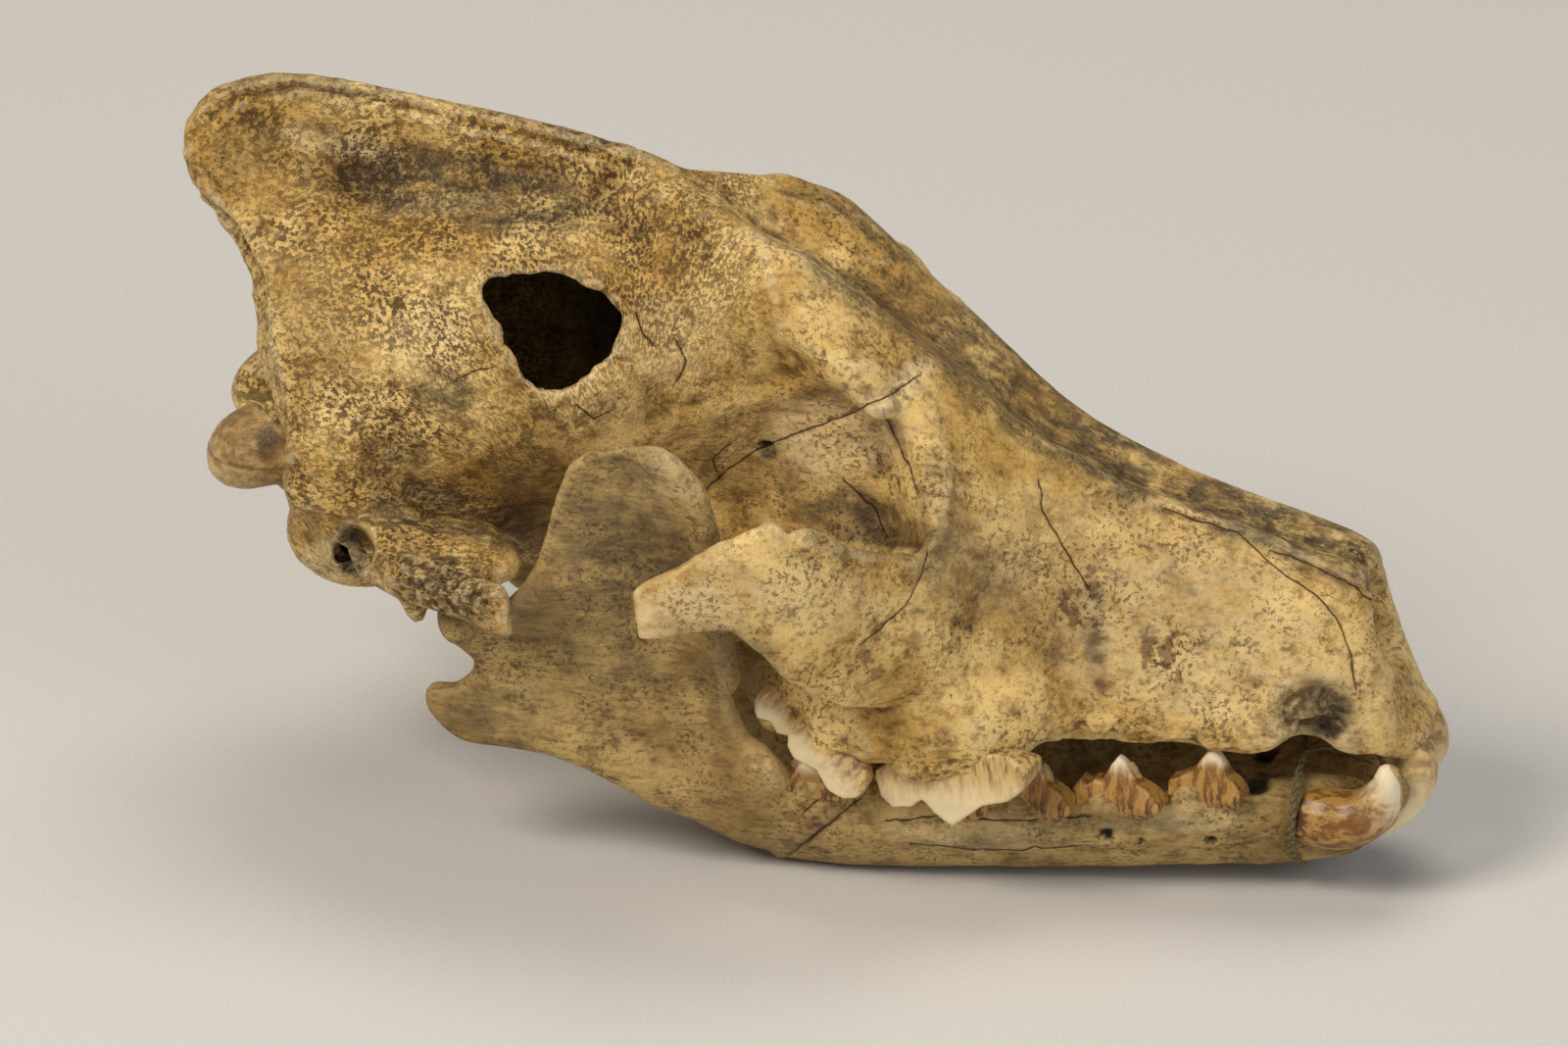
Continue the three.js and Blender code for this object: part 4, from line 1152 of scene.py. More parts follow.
@dataclass
class Mandible(Bone):
    """One half of the lower jaw."""

    slot: Slot = Slot.MANDIBLE
    seed: int = 211
    strokes: tuple[Stroke, ...] = MANDIBLE_STROKES
    foramina: tuple[Patch, ...] = MANDIBLE_FORAMINA
    swells: tuple[Swell, ...] = MANDIBLE_SWELLS
    cracks: tuple[tuple[Point2, ...], ...] = MANDIBLE_CRACKS
    grey: tuple[Patch, ...] = MANDIBLE_GREY
    pale: tuple[Patch, ...] = MANDIBLE_PALE
    rust: tuple[Patch, ...] = MANDIBLE_RUST
    # painted shade in the small openings
    dark: tuple[Patch, ...] = MANDIBLE_FORAMINA
    spots: tuple[Patch, ...] = MANDIBLE_SPOTS
    broken: tuple[Patch, ...] = MANDIBLE_BROKEN
    grain: Point3 = (0.12, 1.0, 1.0)

    def mark_rays(self, surface: Surface) -> None:
        """Keeps the grain along the jaw."""
        surface.store("rays", surface.points * np.array(self.grain))
        surface.store("ray_share", np.zeros(surface.count))


# Teeth


class Profile(Enum):
    """Side views of crowns, from back 0 to front 1, and from the gum 0 to the tip 1."""

    PREMOLAR_SMALL = (
        (0.02, 0.0), (0.0, 0.28), (0.15, 0.38), (0.32, 0.5), (0.5, 0.88), (0.6, 1.0),
        (0.68, 0.9), (0.8, 0.5), (0.95, 0.3), (1.0, 0.12), (0.99, 0.0),
    )
    PREMOLAR_LARGE = (
        (0.02, 0.0), (0.0, 0.25), (0.08, 0.46), (0.15, 0.36), (0.24, 0.5), (0.33, 0.45),
        (0.43, 0.82), (0.5, 1.0), (0.57, 0.92), (0.7, 0.55), (0.9, 0.32), (1.0, 0.15), (0.99, 0.0),
    )
    CARNASSIAL_LOWER = (
        (0.02, 0.0), (0.0, 0.3), (0.12, 0.42), (0.28, 0.36), (0.36, 0.5), (0.45, 0.85), (0.54, 1.0),
        (0.62, 0.72), (0.7, 0.62), (0.82, 0.78), (0.92, 0.55), (1.0, 0.2), (0.99, 0.0),
    )
    CARNASSIAL_UPPER = (
        (0.01, 0.0), (0.0, 0.45), (0.06, 0.66), (0.18, 0.66), (0.27, 0.5), (0.34, 0.78), (0.43, 1.0),
        (0.52, 0.86), (0.66, 0.62), (0.84, 0.52), (0.95, 0.32), (1.0, 0.0),
    )
    MOLAR = (
        (0.0, 0.0), (0.02, 0.5), (0.12, 0.85), (0.25, 1.0), (0.4, 0.82), (0.5, 0.72), (0.6, 0.84),
        (0.75, 0.96), (0.9, 0.8), (1.0, 0.4), (1.0, 0.0),
    )


@dataclass(frozen=True)
class Crown:
    """A tooth's crown: its place on the gum, its sizes in millimetres and its turns in degrees."""

    name: str
    place: Point3
    length: float
    width: float
    height: float
    profile: Profile
    turn: float = 0.0
    pitch: float = 0.0
    upper: bool = False
    tip_width: float = 0.3

    def model(self, side: Side) -> bpy.types.Object:
        """Models the crown: its outline is drawn, extruded, narrowed towards the tip and rounded.

        Args:
            side: the side of the head.

        Returns:
            The crown, in its place.
        """
        outline = self.profile.value
        root = ((0.86, -0.25), (0.14, -0.25))
        corners = [*outline, *root]
        deselect_all()
        bpy.ops.mesh.primitive_circle_add(vertices=len(corners), fill_type="NGON")
        piece = bpy.context.object
        for vertex, (along, rise) in zip(piece.data.vertices, corners):
            vertex.co = ((along - 0.5) * self.length, -0.5, rise * self.height)
        bpy.ops.object.mode_set(mode="EDIT")
        bpy.ops.mesh.select_all(action="SELECT")
        bpy.ops.mesh.extrude_region_move(TRANSFORM_OT_translate={"value": (0, 1.0, 0)})
        bpy.ops.mesh.select_all(action="SELECT")
        bpy.ops.mesh.normals_make_consistent(inside=False)
        bpy.ops.object.mode_set(mode="OBJECT")
        for vertex in piece.data.vertices:
            rise = min(max(vertex.co.z / self.height, 0), 1)
            narrow = 1 + (self.tip_width - 1) * rise**0.8
            if vertex.co.z < 0:
                narrow = 0.45
            vertex.co.y *= self.width * narrow
        apply_modifier(piece, "REMESH", mode="VOXEL", voxel_size=TOOTH_VOXEL)
        apply_modifier(piece, "SMOOTH", factor=0.6, iterations=7)
        surface = Surface(piece)
        rise = surface.points[:, 2] / self.height
        surface.push(0.25 + 0.12 * lattice_noise(surface.points, 2.2, len(self.name)))
        surface.store("rise", np.clip(rise, -0.3, 1))
        surface.store("streak", surface.points * np.array((1.0, 1.0, 0.18)))
        self.set_in_place(piece, side)
        return piece

    def set_in_place(self, piece: bpy.types.Object, side: Side) -> None:
        """Turns and moves the crown to its place in the jaw.

        Args:
            piece: the crown.
            side: the side of the head.
        """
        sign = side.value
        piece.rotation_mode = "XYZ"
        flip = math.pi if self.upper else 0.0
        activate(piece)
        piece.rotation_euler = (flip, 0, 0)
        bpy.ops.object.transform_apply(location=True, rotation=True, scale=True)
        piece.rotation_euler = (0, math.radians(-self.pitch), math.radians(self.turn * sign))
        piece.location = (self.place[0], sign * self.place[1], self.place[2])
        bpy.ops.object.transform_apply(location=True, rotation=True, scale=True)


@dataclass(frozen=True)
class Horn:
    """A tooth that tapers along a bent line: stops of place and radius, in millimetres."""

    name: str
    stops: tuple[tuple[float, float, float, float], ...]
    flatness: float = 0.8

    def model(self, side: Side) -> bpy.types.Object:
        """Models the tooth as a curve with a changing thickness, turned to a mesh and rounded.

        Args:
            side: the side of the head.

        Returns:
            The tooth, in its place.
        """
        sign = side.value
        deselect_all()
        bpy.ops.curve.primitive_nurbs_path_add()
        piece = bpy.context.object
        spline = piece.data.splines[0]
        spline.points.add(len(self.stops) - len(spline.points))
        for point, (x, y, z, radius) in zip(spline.points, self.stops):
            point.co = (x, y, z, 1)
            point.radius = radius
        spline.use_endpoint_u = True
        spline.order_u = 3
        piece.data.bevel_depth = 1.0
        piece.data.bevel_resolution = 5
        piece.data.use_fill_caps = True
        piece.data.resolution_u = 8
        bpy.ops.object.convert(target="MESH")
        piece = bpy.context.object
        middle = sum(stop[1] for stop in self.stops) / len(self.stops)
        for vertex in piece.data.vertices:
            vertex.co.y = (middle + (vertex.co.y - middle) * self.flatness) * sign
        bpy.ops.object.mode_set(mode="EDIT")
        bpy.ops.mesh.select_all(action="SELECT")
        bpy.ops.mesh.normals_make_consistent(inside=False)
        bpy.ops.object.mode_set(mode="OBJECT")
        apply_modifier(piece, "REMESH", mode="VOXEL", voxel_size=TOOTH_VOXEL)
        apply_modifier(piece, "SMOOTH", factor=0.6, iterations=5)
        surface = Surface(piece)
        first = np.array(self.stops[0][:3])
        last = np.array(self.stops[-1][:3])
        folded = surface.points * np.array((1, sign, 1))
        along = (folded - first) @ (last - first) / ((last - first) @ (last - first))
        surface.push(0.15 + 0.08 * lattice_noise(surface.points, 2.6, 7))
        surface.store("rise", np.clip(along, -0.3, 1))
        surface.store("streak", surface.points * np.array((0.35, 1.0, 0.6)))
        return piece


UPPER_TEETH = (
    Crown("carnassial", (35.2, 35.2, 30.2), 30.5, 9.5, 11.6, Profile.CARNASSIAL_UPPER, 12, 10, True, 0.4),
    Crown("molar_first", (12.4, 35.2, 32.2), 18.0, 15.0, 6.2, Profile.MOLAR, 4, -41, True, 0.7),
    Crown("molar_second", (1.4, 30.8, 38.6), 9.8, 12.0, 5.4, Profile.MOLAR, -8, -40, True, 0.7),
)

LOWER_TEETH = (
    Crown("premolar_second", (81.3, 20.2, 22.6), 14.4, 6.0, 9.2, Profile.PREMOLAR_SMALL, 10, 3),
    Crown("premolar_third", (65.0, 23.5, 20.6), 17.2, 6.4, 9.4, Profile.PREMOLAR_LARGE, 10, 3),
    Crown("premolar_fourth", (48.5, 26.0, 19.4), 16.2, 6.6, 10.0, Profile.PREMOLAR_LARGE, 8, 3),
    Crown("carnassial", (28.0, 27.8, 19.4), 26.5, 8.6, 12.0, Profile.CARNASSIAL_LOWER, 6),
    Crown("molar_second", (8.1, 31.2, 20.8), 11.5, 8.4, 6.0, Profile.MOLAR, -10, -10, False, 0.7),
)

UPPER_HORNS = (
    Horn(
        "incisor_third",
        (
            (118.4, 6.4, 31.0, 3.5), (119.6, 7.2, 27.5, 3.9), (119.6, 8.2, 23.6, 3.7),
            (118.0, 8.9, 19.5, 3.0), (115.7, 9.1, 15.6, 2.0), (113.9, 9.1, 13.4, 0.9),
        ),
        1.0,
    ),
)

LOWER_HORNS = (
    Horn(
        "canine",
        (
            (98.8, 13.4, 17.9, 5.6), (102.6, 14.0, 17.2, 6.2), (106.8, 14.4, 17.2, 5.7),
            (110.8, 14.9, 18.8, 5.1), (113.6, 15.6, 22.0, 4.3), (114.9, 16.2, 25.6, 3.3),
            (114.7, 16.6, 28.6, 2.0), (114.3, 16.7, 30.0, 1.0),
        ),
        1.0,
    ),
)


@dataclass
class ToothRow:
    """The teeth of one jaw, both sides, each a piece of its own."""

    title: str
    slot: Slot
    crowns: tuple[Crown, ...]
    horns: tuple[Horn, ...]
    nodes: dict[Side, str] = field(default_factory=dict)

    def build(self, finish: "EnamelFinish") -> list[bpy.types.Object]:
        """Models every tooth and dresses it.

        Args:
            finish: the enamel's finish.

        Returns:
            The finished teeth.
        """
        pieces = []
        for side, tooth in itertools.product(Side, (*self.crowns, *self.horns)):
            piece = tooth.model(side)
            piece.name = f"{self.title}_{tooth.name}_{side.name.lower()}"
            dress(piece, finish.material(), [self.nodes[side]])
            pieces.append(piece)
        return pieces


# The tie


@dataclass
class JawTie:
    """The twine round the front of the lower jaw, of two twisted strands, in millimetres."""

    half_path: tuple[Point3, ...] = (
        (97.6, 0.0, 27.9),
        (97.6, 8.2, 27.8),
        (97.9, 16.8, 27.5),
        (97.5, 20.6, 20.2),
        (97.3, 17.2, 10.6),
        (98.4, 10.0, 4.5),
        (98.6, 0.0, 3.9),
    )
    strand: float = 0.48
    offset: float = 0.4
    twists: int = 26
    loose_ends: tuple[tuple[Point3, ...], ...] = (
        ((98.0, -9.5, 28.2), (102.0, -7.5, 29.2), (106.5, -6.0, 27.6), (110.5, -5.0, 25.0)),
        ((98.0, -9.0, 28.0), (101.0, -6.0, 28.0), (105.0, -3.6, 26.2), (109.0, -2.6, 24.4)),
        ((98.0, -8.0, 28.3), (101.5, -4.5, 29.6), (104.5, -2.0, 28.0), (107.5, -1.0, 25.6)),
    )

    def build(self, finish: "TwineFinish") -> bpy.types.Object:
        """Models the strands and dresses them.

        Args:
            finish: the twine's finish.

        Returns:
            The finished piece.
        """
        loop = self.smooth_loop()
        strands = [self.strand_curve(self.wind(loop, turn), True) for turn in (0.0, math.pi)]
        strands += [self.strand_curve(np.array(end), False) for end in self.loose_ends]
        piece = join(strands)
        piece.name = "jaw_tie_twine"
        dress(piece, finish.material(), ["jaw_tie"])
        return piece

    def smooth_loop(self) -> np.ndarray:
        """Gives the closed middle line, with rounded corners."""
        right = [(x, -y, z) for x, y, z in self.half_path]
        left = [(x, y, z) for x, y, z in reversed(self.half_path[1:-1])]
        corners = np.array([*right, *left])
        for _ in range(4):
            following = np.roll(corners, -1, axis=0)
            quarter = corners * 0.75 + following * 0.25
            three = corners * 0.25 + following * 0.75
            corners = np.stack((quarter, three), axis=1).reshape(-1, 3)
        return corners

    def wind(self, loop: np.ndarray, start: float) -> np.ndarray:
        """Winds a line round the loop.

        Args:
            loop: the middle line.
            start: the angle at which it starts.

        Returns:
            The wound line.
        """
        ahead = np.roll(loop, -1, axis=0) - np.roll(loop, 1, axis=0)
        ahead /= np.linalg.norm(ahead, axis=1)[:, None]
        aside = np.array((1.0, 0.0, 0.0)) - ahead * ahead[:, :1]
        aside /= np.linalg.norm(aside, axis=1)[:, None]
        other = np.cross(ahead, aside)
        steps = np.linalg.norm(np.diff(loop, axis=0, append=loop[:1]), axis=1)
        along = np.concatenate(([0.0], np.cumsum(steps)[:-1])) / steps.sum()
        angle = start + along * self.twists * 2 * math.pi
        return loop + self.offset * (
            np.cos(angle)[:, None] * aside + np.sin(angle)[:, None] * other
        )

    def strand_curve(self, line: np.ndarray, closed: bool) -> bpy.types.Object:
        """Models one strand as a round curve turned to a mesh.

        Args:
            line: the strand's middle line.
            closed: whether its ends meet.

        Returns:
            The strand's mesh object.
        """
        deselect_all()
        bpy.ops.curve.primitive_nurbs_path_add()
        piece = bpy.context.object
        piece.data.splines.clear()
        spline = piece.data.splines.new("NURBS")
        spline.points.add(len(line) - 1)
        for point, place in zip(spline.points, line):
            point.co = (*place, 1)
            point.radius = 1.0
        spline.use_cyclic_u = closed
        spline.use_endpoint_u = not closed
        spline.order_u = 3
        piece.data.bevel_depth = self.strand if closed else self.strand * 0.6
        piece.data.bevel_resolution = 3
        piece.data.use_fill_caps = True
        piece.data.resolution_u = 2 if closed else 8
        bpy.ops.object.convert(target="MESH")
        return bpy.context.object


# Finishes


def add_node(
    tree: bpy.types.NodeTree, kind: str, inputs: dict | None = None, **settings: object
) -> bpy.types.Node:
    """Adds a node to a tree.

    Args:
        tree: the material's tree.
        kind: the node's type.
        inputs: a number, a colour or an output for each named or numbered input.
        settings: the node's own values.

    Returns:
        The node.
    """
    made = tree.nodes.new(kind)
    for name, value in settings.items():
        setattr(made, name, value)
    for socket, value in (inputs or {}).items():
        if isinstance(value, bpy.types.NodeSocket):
            tree.links.new(value, made.inputs[socket])
        else:
            made.inputs[socket].default_value = value
    return made


class Board:
    """A material's node tree, with short calls for the nodes that the finishes use."""

    def __init__(self, name: str) -> None:
        """Makes an empty material with its output and shader.

        Args:
            name: the material's name.
        """
        self.material = bpy.data.materials.new(name)
        self.material.use_nodes = True
        self.tree = self.material.node_tree
        self.tree.nodes.clear()
        self.shader = add_node(self.tree, "ShaderNodeBsdfPrincipled")
        add_node(
            self.tree,
            "ShaderNodeOutputMaterial",
            {"Surface": self.shader.outputs["BSDF"]},
        )

    def set(self, socket: str, value: object) -> None:
        """Sets or links one of the shader's inputs."""
        if isinstance(value, bpy.types.NodeSocket):
            self.tree.links.new(value, self.shader.inputs[socket])
        else:
            self.shader.inputs[socket].default_value = value

    def places_mm(self, stretch: Point3 = (1.0, 1.0, 1.0)) -> bpy.types.NodeSocket:
        """Gives the object's coordinates in millimetres, stretched."""
        source = add_node(self.tree, "ShaderNodeTexCoord").outputs["Object"]
        factor = tuple(1000 * part for part in stretch)
        made = add_node(self.tree, "ShaderNodeVectorMath", {0: source, 1: factor}, operation="MULTIPLY")
        return made.outputs[0]

    def attribute(self, name: str, vector: bool = False) -> bpy.types.NodeSocket:
        """Gives an attribute of the mesh."""
        made = add_node(self.tree, "ShaderNodeAttribute", attribute_name=name)
        return made.outputs["Vector" if vector else "Fac"]

    def noise(
        self, places: bpy.types.NodeSocket, size: float, detail: float = 3.0, rough: float = 0.55
    ) -> bpy.types.NodeSocket:
        """Gives noise whose largest marks are about as long as size, in millimetres."""
        values = {"Vector": places, "Scale": 1 / size, "Detail": detail, "Roughness": rough}
        return add_node(self.tree, "ShaderNodeTexNoise", values).outputs["Fac"]

    def cells(
        self, places: bpy.types.NodeSocket, size: float, rough: float = 1.0
    ) -> bpy.types.NodeSocket:
        """Gives the distance to the nearest of scattered points, about size apart."""
        values = {"Vector": places, "Scale": 1 / size, "Randomness": rough}
        return add_node(self.tree, "ShaderNodeTexVoronoi", values).outputs["Distance"]

    def math(self, operation: str, *values: object) -> bpy.types.NodeSocket:
        """Gives the result of a sum on numbers."""
        made = add_node(
            self.tree, "ShaderNodeMath", dict(enumerate(values)), operation=operation
        )
        return made.outputs[0]

    def between(
        self, value: bpy.types.NodeSocket, low: float, high: float, least: float = 0.0, most: float = 1.0
    ) -> bpy.types.NodeSocket:
        """Rises smoothly from least at low to most at high.

        Args:
            value: the number that changes.
            low: where the rise starts.
            high: where it ends.
            least: the result before the rise.
            most: the result after it.

        Returns:
            The result.
        """
        values = {"Value": value, "From Min": low, "From Max": high, "To Min": least, "To Max": most}
        made = add_node(
            self.tree, "ShaderNodeMapRange", values, interpolation_type="SMOOTHSTEP"
        )
        return made.outputs["Result"]

    def mix(
        self, share: object, first: object, second: object, blend: str = "MIX"
    ) -> bpy.types.NodeSocket:
        """Mixes two colours.

        Args:
            share: how much of the second colour shows.
            first: a colour.
            second: a colour.
            blend: how they are mixed.

        Returns:
            The mixed colour.
        """
        made = add_node(
            self.tree,
            "ShaderNodeMix",
            {0: share, 6: first, 7: second},
            data_type="RGBA",
            blend_type=blend,
        )
        return made.outputs[2]

    def blend(self, share: object, first: object, second: object) -> bpy.types.NodeSocket:
        """Mixes two numbers."""
        made = add_node(
            self.tree, "ShaderNodeMix", {0: share, 2: first, 3: second}, data_type="FLOAT"
        )
        return made.outputs[0]

    def bump(self, height: bpy.types.NodeSocket, depth_mm: float, strength: float = 1.0) -> None:
        """Gives the shader a relief."""
        values = {"Height": height, "Distance": depth_mm * MM, "Strength": strength}
        made = add_node(self.tree, "ShaderNodeBump", values)
        self.set("Normal", made.outputs["Normal"])


@dataclass(frozen=True)
class BoneFinish:
    """Old dry bone, stained by soil: ochre, with brown pits, grey bands and pale chips, and painted shade
    in its hollows, openings and inside.
    """

    name: str = "soil_stained_bone"
    light: str = "ecc87e"
    middle: str = "bd9448"
    deep: str = "7a531a"
    stain: str = "50310c"
    # dark brown of pits, seams and broken crumbs, also used for painted shade in creases
    pit_and_shade: str = "3a2106"
    grey: str = "5c4b2e"
    pale: str = "e8d2a0"
    rust: str = "74501c"
    # near black, painted shade inside the braincase and in openings and recesses
    inside: str = "120d08"
    worm_size: float = 0.68
    worm_strength: float = 0.85
    edge_paling: float = 0.35
    freckle_strength: float = 0.6
    fibre_stretch: Point3 = (0.45, 1.0, 1.0)

    def material(self) -> bpy.types.Material:
        """Gives the material, made once."""
        if self.name in bpy.data.materials:
            return bpy.data.materials[self.name]
        board = Board(self.name)
        places = board.places_mm()
        worms = self.worms(board)
        fibres = board.noise(board.places_mm(self.fibre_stretch), 1.2, 4.0, 0.65)
        freckles = self.freckles(board, places)
        colour = self.ground(board, places)
        colour = board.mix(board.between(fibres, 0.5, 0.7, 0.0, 0.5), colour, srgb(self.stain))
        colour = board.mix(board.between(fibres, 0.5, 0.3, 0.0, 0.35), colour, srgb(self.light))
        colour = self.zones(board, colour, places)
        polish = board.attribute("rust")
        dark_pits = board.math("MAXIMUM", worms, freckles)
        dark_pits = board.math("MULTIPLY", dark_pits, board.between(polish, 0.2, 0.8, 1.0, 0.15))
        colour = board.mix(dark_pits, colour, srgb(self.pit_and_shade))
        # painted shade: small creases and hollows are darkened towards the pit colour
        cavity = board.attribute("cavity")
        colour = board.mix(board.between(cavity, 0.1, 0.9, 0.0, 0.6), colour, srgb(self.pit_and_shade))
        worn = board.between(cavity, -0.3, -0.95, 0.0, self.edge_paling)
        colour = board.mix(worn, colour, srgb(self.pale))
        colour = board.mix(self.spots(board, places), colour, srgb(self.stain))
        seam = self.seam(board)
        colour = board.mix(seam, colour, srgb(self.pit_and_shade))
        # painted shade: the inside of the braincase, openings and recesses go near black
        dark = board.math("MULTIPLY", board.attribute("dark"), 0.97)
        board.set("Base Color", board.mix(dark, colour, srgb(self.inside)))
        grain = board.between(board.noise(places, 3.0), 0.3, 0.7, 0.5, 0.7)
        board.set("Roughness", board.blend(polish, grain, 0.3))
        board.shader.inputs["Specular IOR Level"].default_value = 0.35
        board.bump(self.relief(board, places, fibres, dark_pits, seam), 0.7)
        return board.material

    def ground(self, board: Board, places: bpy.types.NodeSocket) -> bpy.types.NodeSocket:
        """Mixes the ochres, with painted shade darkening the broad hollows.

        Args:
            board: the material's node tree.
            places: the object's coordinates in millimetres.

        Returns:
            The colour.
        """
        broad = board.noise(places, 24.0, 4.0, 0.6)
        mottle = board.noise(places, 5.0, 6.0, 0.7)
        colour = board.mix(board.between(broad, 0.38, 0.62), srgb(self.middle), srgb(self.light))
        colour = board.mix(board.between(mottle, 0.46, 0.66, 0.0, 0.7), colour, srgb(self.deep))
        # painted shade: the broad hollows go towards the deep ochre
        hollow = board.between(board.attribute("hollow"), 0.05, 0.9, 0.0, 0.6)
        return board.mix(hollow, colour, srgb(self.deep))

    def worms(self, board: Board) -> bpy.types.NodeSocket:
        """Gives the dense worm-like pits of the braincase, laid in rays."""
        rays = board.attribute("rays", vector=True)
        curls = board.noise(rays, self.worm_size, 2.0, 0.6)
        pits = board.between(curls, 0.5, 0.6, 0.0, self.worm_strength)
        where = board.between(board.noise(rays, 11.0, 4.0, 0.6), 0.34, 0.62, 0.35, 1.0)
        return board.math("MULTIPLY", board.math("MULTIPLY", pits, where), board.attribute("ray_share"))

    def freckles(self, board: Board, places: bpy.types.NodeSocket) -> bpy.types.NodeSocket:
        """Gives fine dark freckles in drifts."""
        dots = board.between(board.noise(places, 1.0, 3.0, 0.7), 0.54, 0.64, 0.0, self.freckle_strength)
        drifts = board.between(board.noise(places, 13.0, 5.0, 0.65), 0.4, 0.62, 0.15, 1.0)
        return board.math("MULTIPLY", dots, drifts)

    def zones(
        self, board: Board, colour: bpy.types.NodeSocket, places: bpy.types.NodeSocket
    ) -> bpy.types.NodeSocket:
        """Tints the grey, pale, reddish and broken parts.

        Args:
            board: the material's node tree.
            colour: the colour so far.
            places: the object's coordinates in millimetres.

        Returns:
            The tinted colour.
        """
        cloud = board.noise(board.places_mm((0.5, 1.0, 1.0)), 3.0, 5.0, 0.7)
        grey = board.math("MULTIPLY", board.attribute("grey"), board.between(cloud, 0.35, 0.6, 0.25, 1.0))
        colour = board.mix(grey, colour, srgb(self.grey))
        pale = board.math("MULTIPLY", board.attribute("pale"), board.between(cloud, 0.6, 0.35, 0.4, 0.95))
        colour = board.mix(pale, colour, srgb(self.pale))
        rust = board.math("MULTIPLY", board.attribute("rust"), board.between(cloud, 0.3, 0.7, 0.5, 0.9))
        colour = board.mix(rust, colour, srgb(self.rust))
        crumbs = board.between(board.cells(places, 1.5), 0.55, 0.2)
        holes = board.math("MULTIPLY", board.attribute("broken"), crumbs)
        return board.mix(board.math("MULTIPLY", holes, 0.8), colour, srgb(self.pit_and_shade))

    def spots(self, board: Board, places: bpy.types.NodeSocket) -> bpy.types.NodeSocket:
        """Gives clusters of brown spots a few millimetres wide."""
        blots = board.between(board.noise(places, 3.4, 4.0, 0.6), 0.52, 0.57)
        return board.math("MULTIPLY", blots, board.math("MULTIPLY", board.attribute("spots"), 0.75))

    def seam(self, board: Board) -> bpy.types.NodeSocket:
        """Gives the thin dark lines of the sutures and cracks."""
        gap = board.math("ABSOLUTE", board.attribute("seam_gap"))
        lines = board.between(gap, 0.2, 0.04, 0.0, 0.85)
        return board.math("MULTIPLY", lines, board.attribute("seam"))

    def relief(
        self,
        board: Board,
        places: bpy.types.NodeSocket,
        fibres: bpy.types.NodeSocket,
        pits: bpy.types.NodeSocket,
        seam: bpy.types.NodeSocket,
    ) -> bpy.types.NodeSocket:
        """Gives the height of the fine relief, from 0 to about 1.

        Args:
            board: the material's node tree.
            places: the object's coordinates in millimetres.
            fibres: the noise of the fibres.
            pits: where the dark pits lie.
            seam: where the sutures and cracks lie.

        Returns:
            The height.
        """
        fine = board.noise(places, 0.6, 3.0, 0.6)
        fine = board.math("MULTIPLY", fine, 0.3)
        height = board.math("ADD", fine, board.math("MULTIPLY", fibres, -0.4))
        height = board.math("SUBTRACT", height, board.math("MULTIPLY", pits, 0.8))
        return board.math("SUBTRACT", height, seam)


@dataclass(frozen=True)
class EnamelFinish:
    """Worn enamel: cream tips, and orange-brown streaks up from the gum."""

    name: str = "streaked_enamel"
    tip: str = "ecdcb8"
    body: str = "b08542"
    streak: str = "744616"
    deep: str = "3a230a"
    staining: float = 0.9
    cream_from: float = 0.52
    cream_to: float = 1.0

    def material(self) -> bpy.types.Material:
        """Gives the material, made once."""
        if self.name in bpy.data.materials:
            return bpy.data.materials[self.name]
        board = Board(self.name)
        places = board.places_mm()
        rise = board.attribute("rise")
        streaks = board.attribute("streak", vector=True)
        lines = board.noise(streaks, 1.3, 5.0, 0.65)
        cloud = board.noise(places, 3.5, 3.0)
        height = board.math("ADD", rise, board.math("MULTIPLY", board.math("SUBTRACT", cloud, 0.5), 0.4))
        cream = board.between(height, self.cream_from, self.cream_to)
        colour = board.mix(cream, srgb(self.body), srgb(self.tip))
        low = board.between(height, self.cream_to, self.cream_from)
        stain_and_shade = board.math("MULTIPLY", low, board.between(lines, 0.44, 0.58, 0.0, self.staining))
        colour = board.mix(stain_and_shade, colour, srgb(self.streak))
        gum = board.between(height, 0.3, -0.05)
        deep = board.math("MULTIPLY", gum, board.between(lines, 0.5, 0.62, 0.0, self.staining))
        colour = board.mix(deep, colour, srgb(self.deep))
        board.set("Base Color", colour)
        board.set("Roughness", board.between(cloud, 0.3, 0.7, 0.3, 0.48))
        board.shader.inputs["Coat Weight"].default_value = 0.08
        board.shader.inputs["Coat Roughness"].default_value = 0.2
        board.bump(board.math("ADD", lines, board.noise(places, 0.6)), 0.15, 0.6)
        return board.material


@dataclass(frozen=True)
class TwineFinish:
    """Olive twine of plant fibre."""

    name: str = "olive_twine"
    fibre: str = "7a6c46"
    shade: str = "463a1c"

    def material(self) -> bpy.types.Material:
        """Gives the material, made once."""
        if self.name in bpy.data.materials:
            return bpy.data.materials[self.name]
        board = Board(self.name)
        places = board.places_mm()
        fibres = board.noise(places, 0.35, 3.0, 0.6)
        gaps = board.between(fibres, 0.4, 0.65)
        board.set("Base Color", board.mix(gaps, srgb(self.fibre), srgb(self.shade)))
        board.set("Roughness", board.between(fibres, 0.3, 0.7, 0.6, 0.85))
        board.bump(fibres, 0.15, 0.8)
        return board.material


@dataclass(frozen=True)
class FloorFinish:
    """Matt pale paper."""

    name: str = "pale_paper"
    paper: str = "d9d7d2"
    fleck: str = "d3d1cb"

    def material(self) -> bpy.types.Material:
        """Gives the material, made once."""
        board = Board(self.name)
        tooth = board.noise(board.places_mm(), 0.8, 2.0)
        flecks = board.between(tooth, 0.3, 0.7)
        board.set("Base Color", board.mix(flecks, srgb(self.paper), srgb(self.fleck)))
        board.shader.inputs["Roughness"].default_value = 0.9
        return board.material


# The studio


@dataclass(frozen=True)
class SoftLight:
    """A square soft light: its place and size in metres, and its power in watts."""

    name: str
    place: Point3
    size: float
    power: float
    tint: str = "fff6ea"


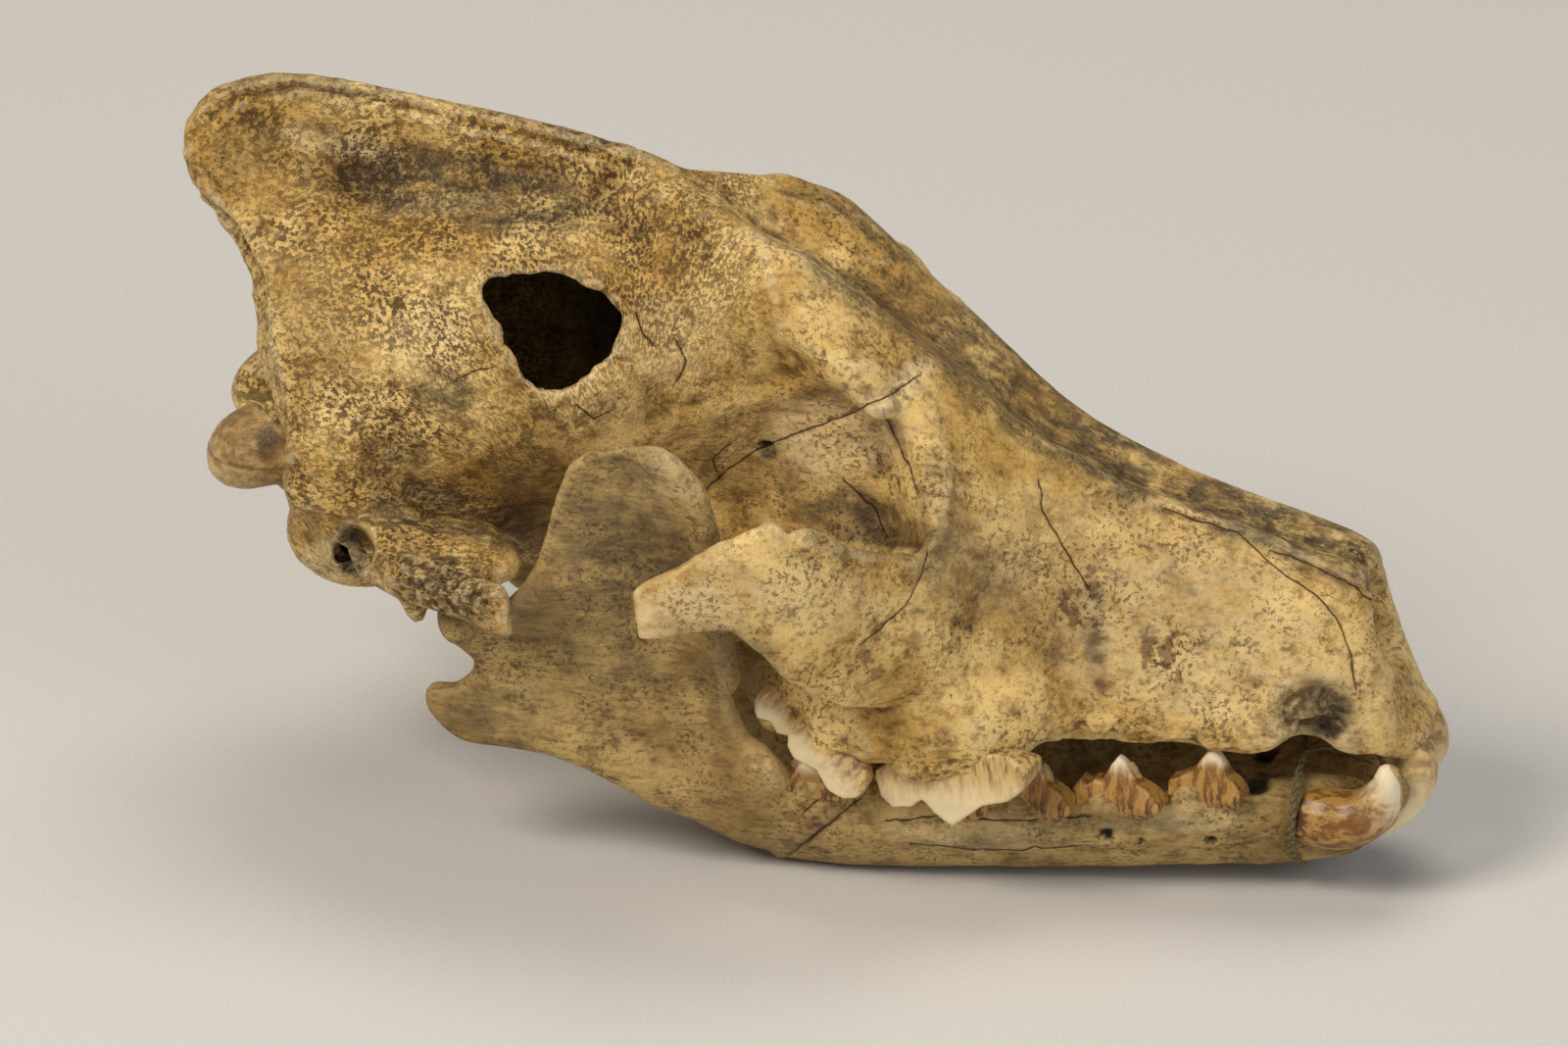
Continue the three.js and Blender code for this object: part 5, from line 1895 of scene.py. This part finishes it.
@dataclass
class Studio:
    """The floor, the lights and the surrounding light."""

    floor_half: float = 6.0
    lit_place: Point3 = (0.0, 0.0, 0.06)
    surround: str = "cfd3d8"
    surround_strength: float = 0.26
    lights: tuple[SoftLight, ...] = (
        SoftLight("key_light", (-0.9, -1.3, 1.5), 0.8, 31.0),
        SoftLight("fill_light", (1.3, -1.2, 0.9), 1.0, 9.0, "f2f5ff"),
        SoftLight("top_light", (0.1, 0.5, 1.8), 1.0, 12.0),
    )

    def build(self) -> None:
        """Adds the floor and the lights."""
        deselect_all()
        bpy.ops.mesh.primitive_plane_add(size=2 * self.floor_half)
        floor = bpy.context.object
        floor.name = "paper_floor"
        floor.data.materials.append(FloorFinish().material())
        for light in self.lights:
            self.add_light(light)
        world = bpy.data.worlds.new("studio_air")
        world.use_nodes = True
        sky = next(n for n in world.node_tree.nodes if n.type == "BACKGROUND")
        sky.inputs["Color"].default_value = srgb(self.surround)
        sky.inputs["Strength"].default_value = self.surround_strength
        bpy.context.scene.world = world
        bpy.context.scene.view_settings.view_transform = "Standard"

    def add_light(self, light: SoftLight) -> None:
        """Adds one soft light that faces the skull.

        Args:
            light: the light's place, size and power.
        """
        deselect_all()
        bpy.ops.object.light_add(type="AREA", location=light.place)
        lamp = bpy.context.object
        lamp.name = light.name
        lamp.data.size = light.size
        lamp.data.energy = light.power
        lamp.data.color = srgb(light.tint)[:3]
        towards = Vector(self.lit_place) - Vector(light.place)
        lamp.rotation_mode = "QUATERNION"
        lamp.rotation_quaternion = towards.to_track_quat("-Z", "Y")


def corners(box: tuple[Vector, Vector]) -> list[list[float]]:
    """Turns a box into plain lists of numbers."""
    return [list(corner) for corner in box]


def main() -> None:
    """Builds the dressed skull, the studio and the camera."""
    logging.basicConfig(level=logging.INFO, format="%(name)s: %(message)s")
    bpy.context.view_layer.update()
    skull_bone = BoneFinish()
    jaw_bone = BoneFinish(
        name="tan_jaw_bone",
        light="c6a768",
        middle="997c45",
        deep="6c5228",
        stain="48341a",
        grey="64543a",
        worm_strength=0.0,
        freckle_strength=0.55,
        edge_paling=0.1,
        fibre_stretch=(0.2, 1.0, 1.0),
    )
    streaked = EnamelFinish()
    cream = EnamelFinish(
        name="cream_enamel",
        tip="e9d6aa",
        body="cfae70",
        streak="7d5626",
        staining=0.5,
        cream_from=0.0,
        cream_to=0.7,
    )
    Cranium().build(skull_bone)
    mandibles = {Side.RIGHT: "mandible_right", Side.LEFT: "mandible_left"}
    for side, node in mandibles.items():
        Mandible(node=node, title=f"{node}_surface", seed=211 + side.value).build(jaw_bone)
    cranium = {side: "cranium" for side in Side}
    ToothRow("upper", Slot.CRANIUM, UPPER_TEETH, UPPER_HORNS, cranium).build(cream)
    ToothRow("lower", Slot.MANDIBLE, LOWER_TEETH, LOWER_HORNS, mandibles).build(streaked)
    JawTie().build(TwineFinish())
    Studio().build()
    VIEW.make_camera()


if __name__ == "__main__":
    main()
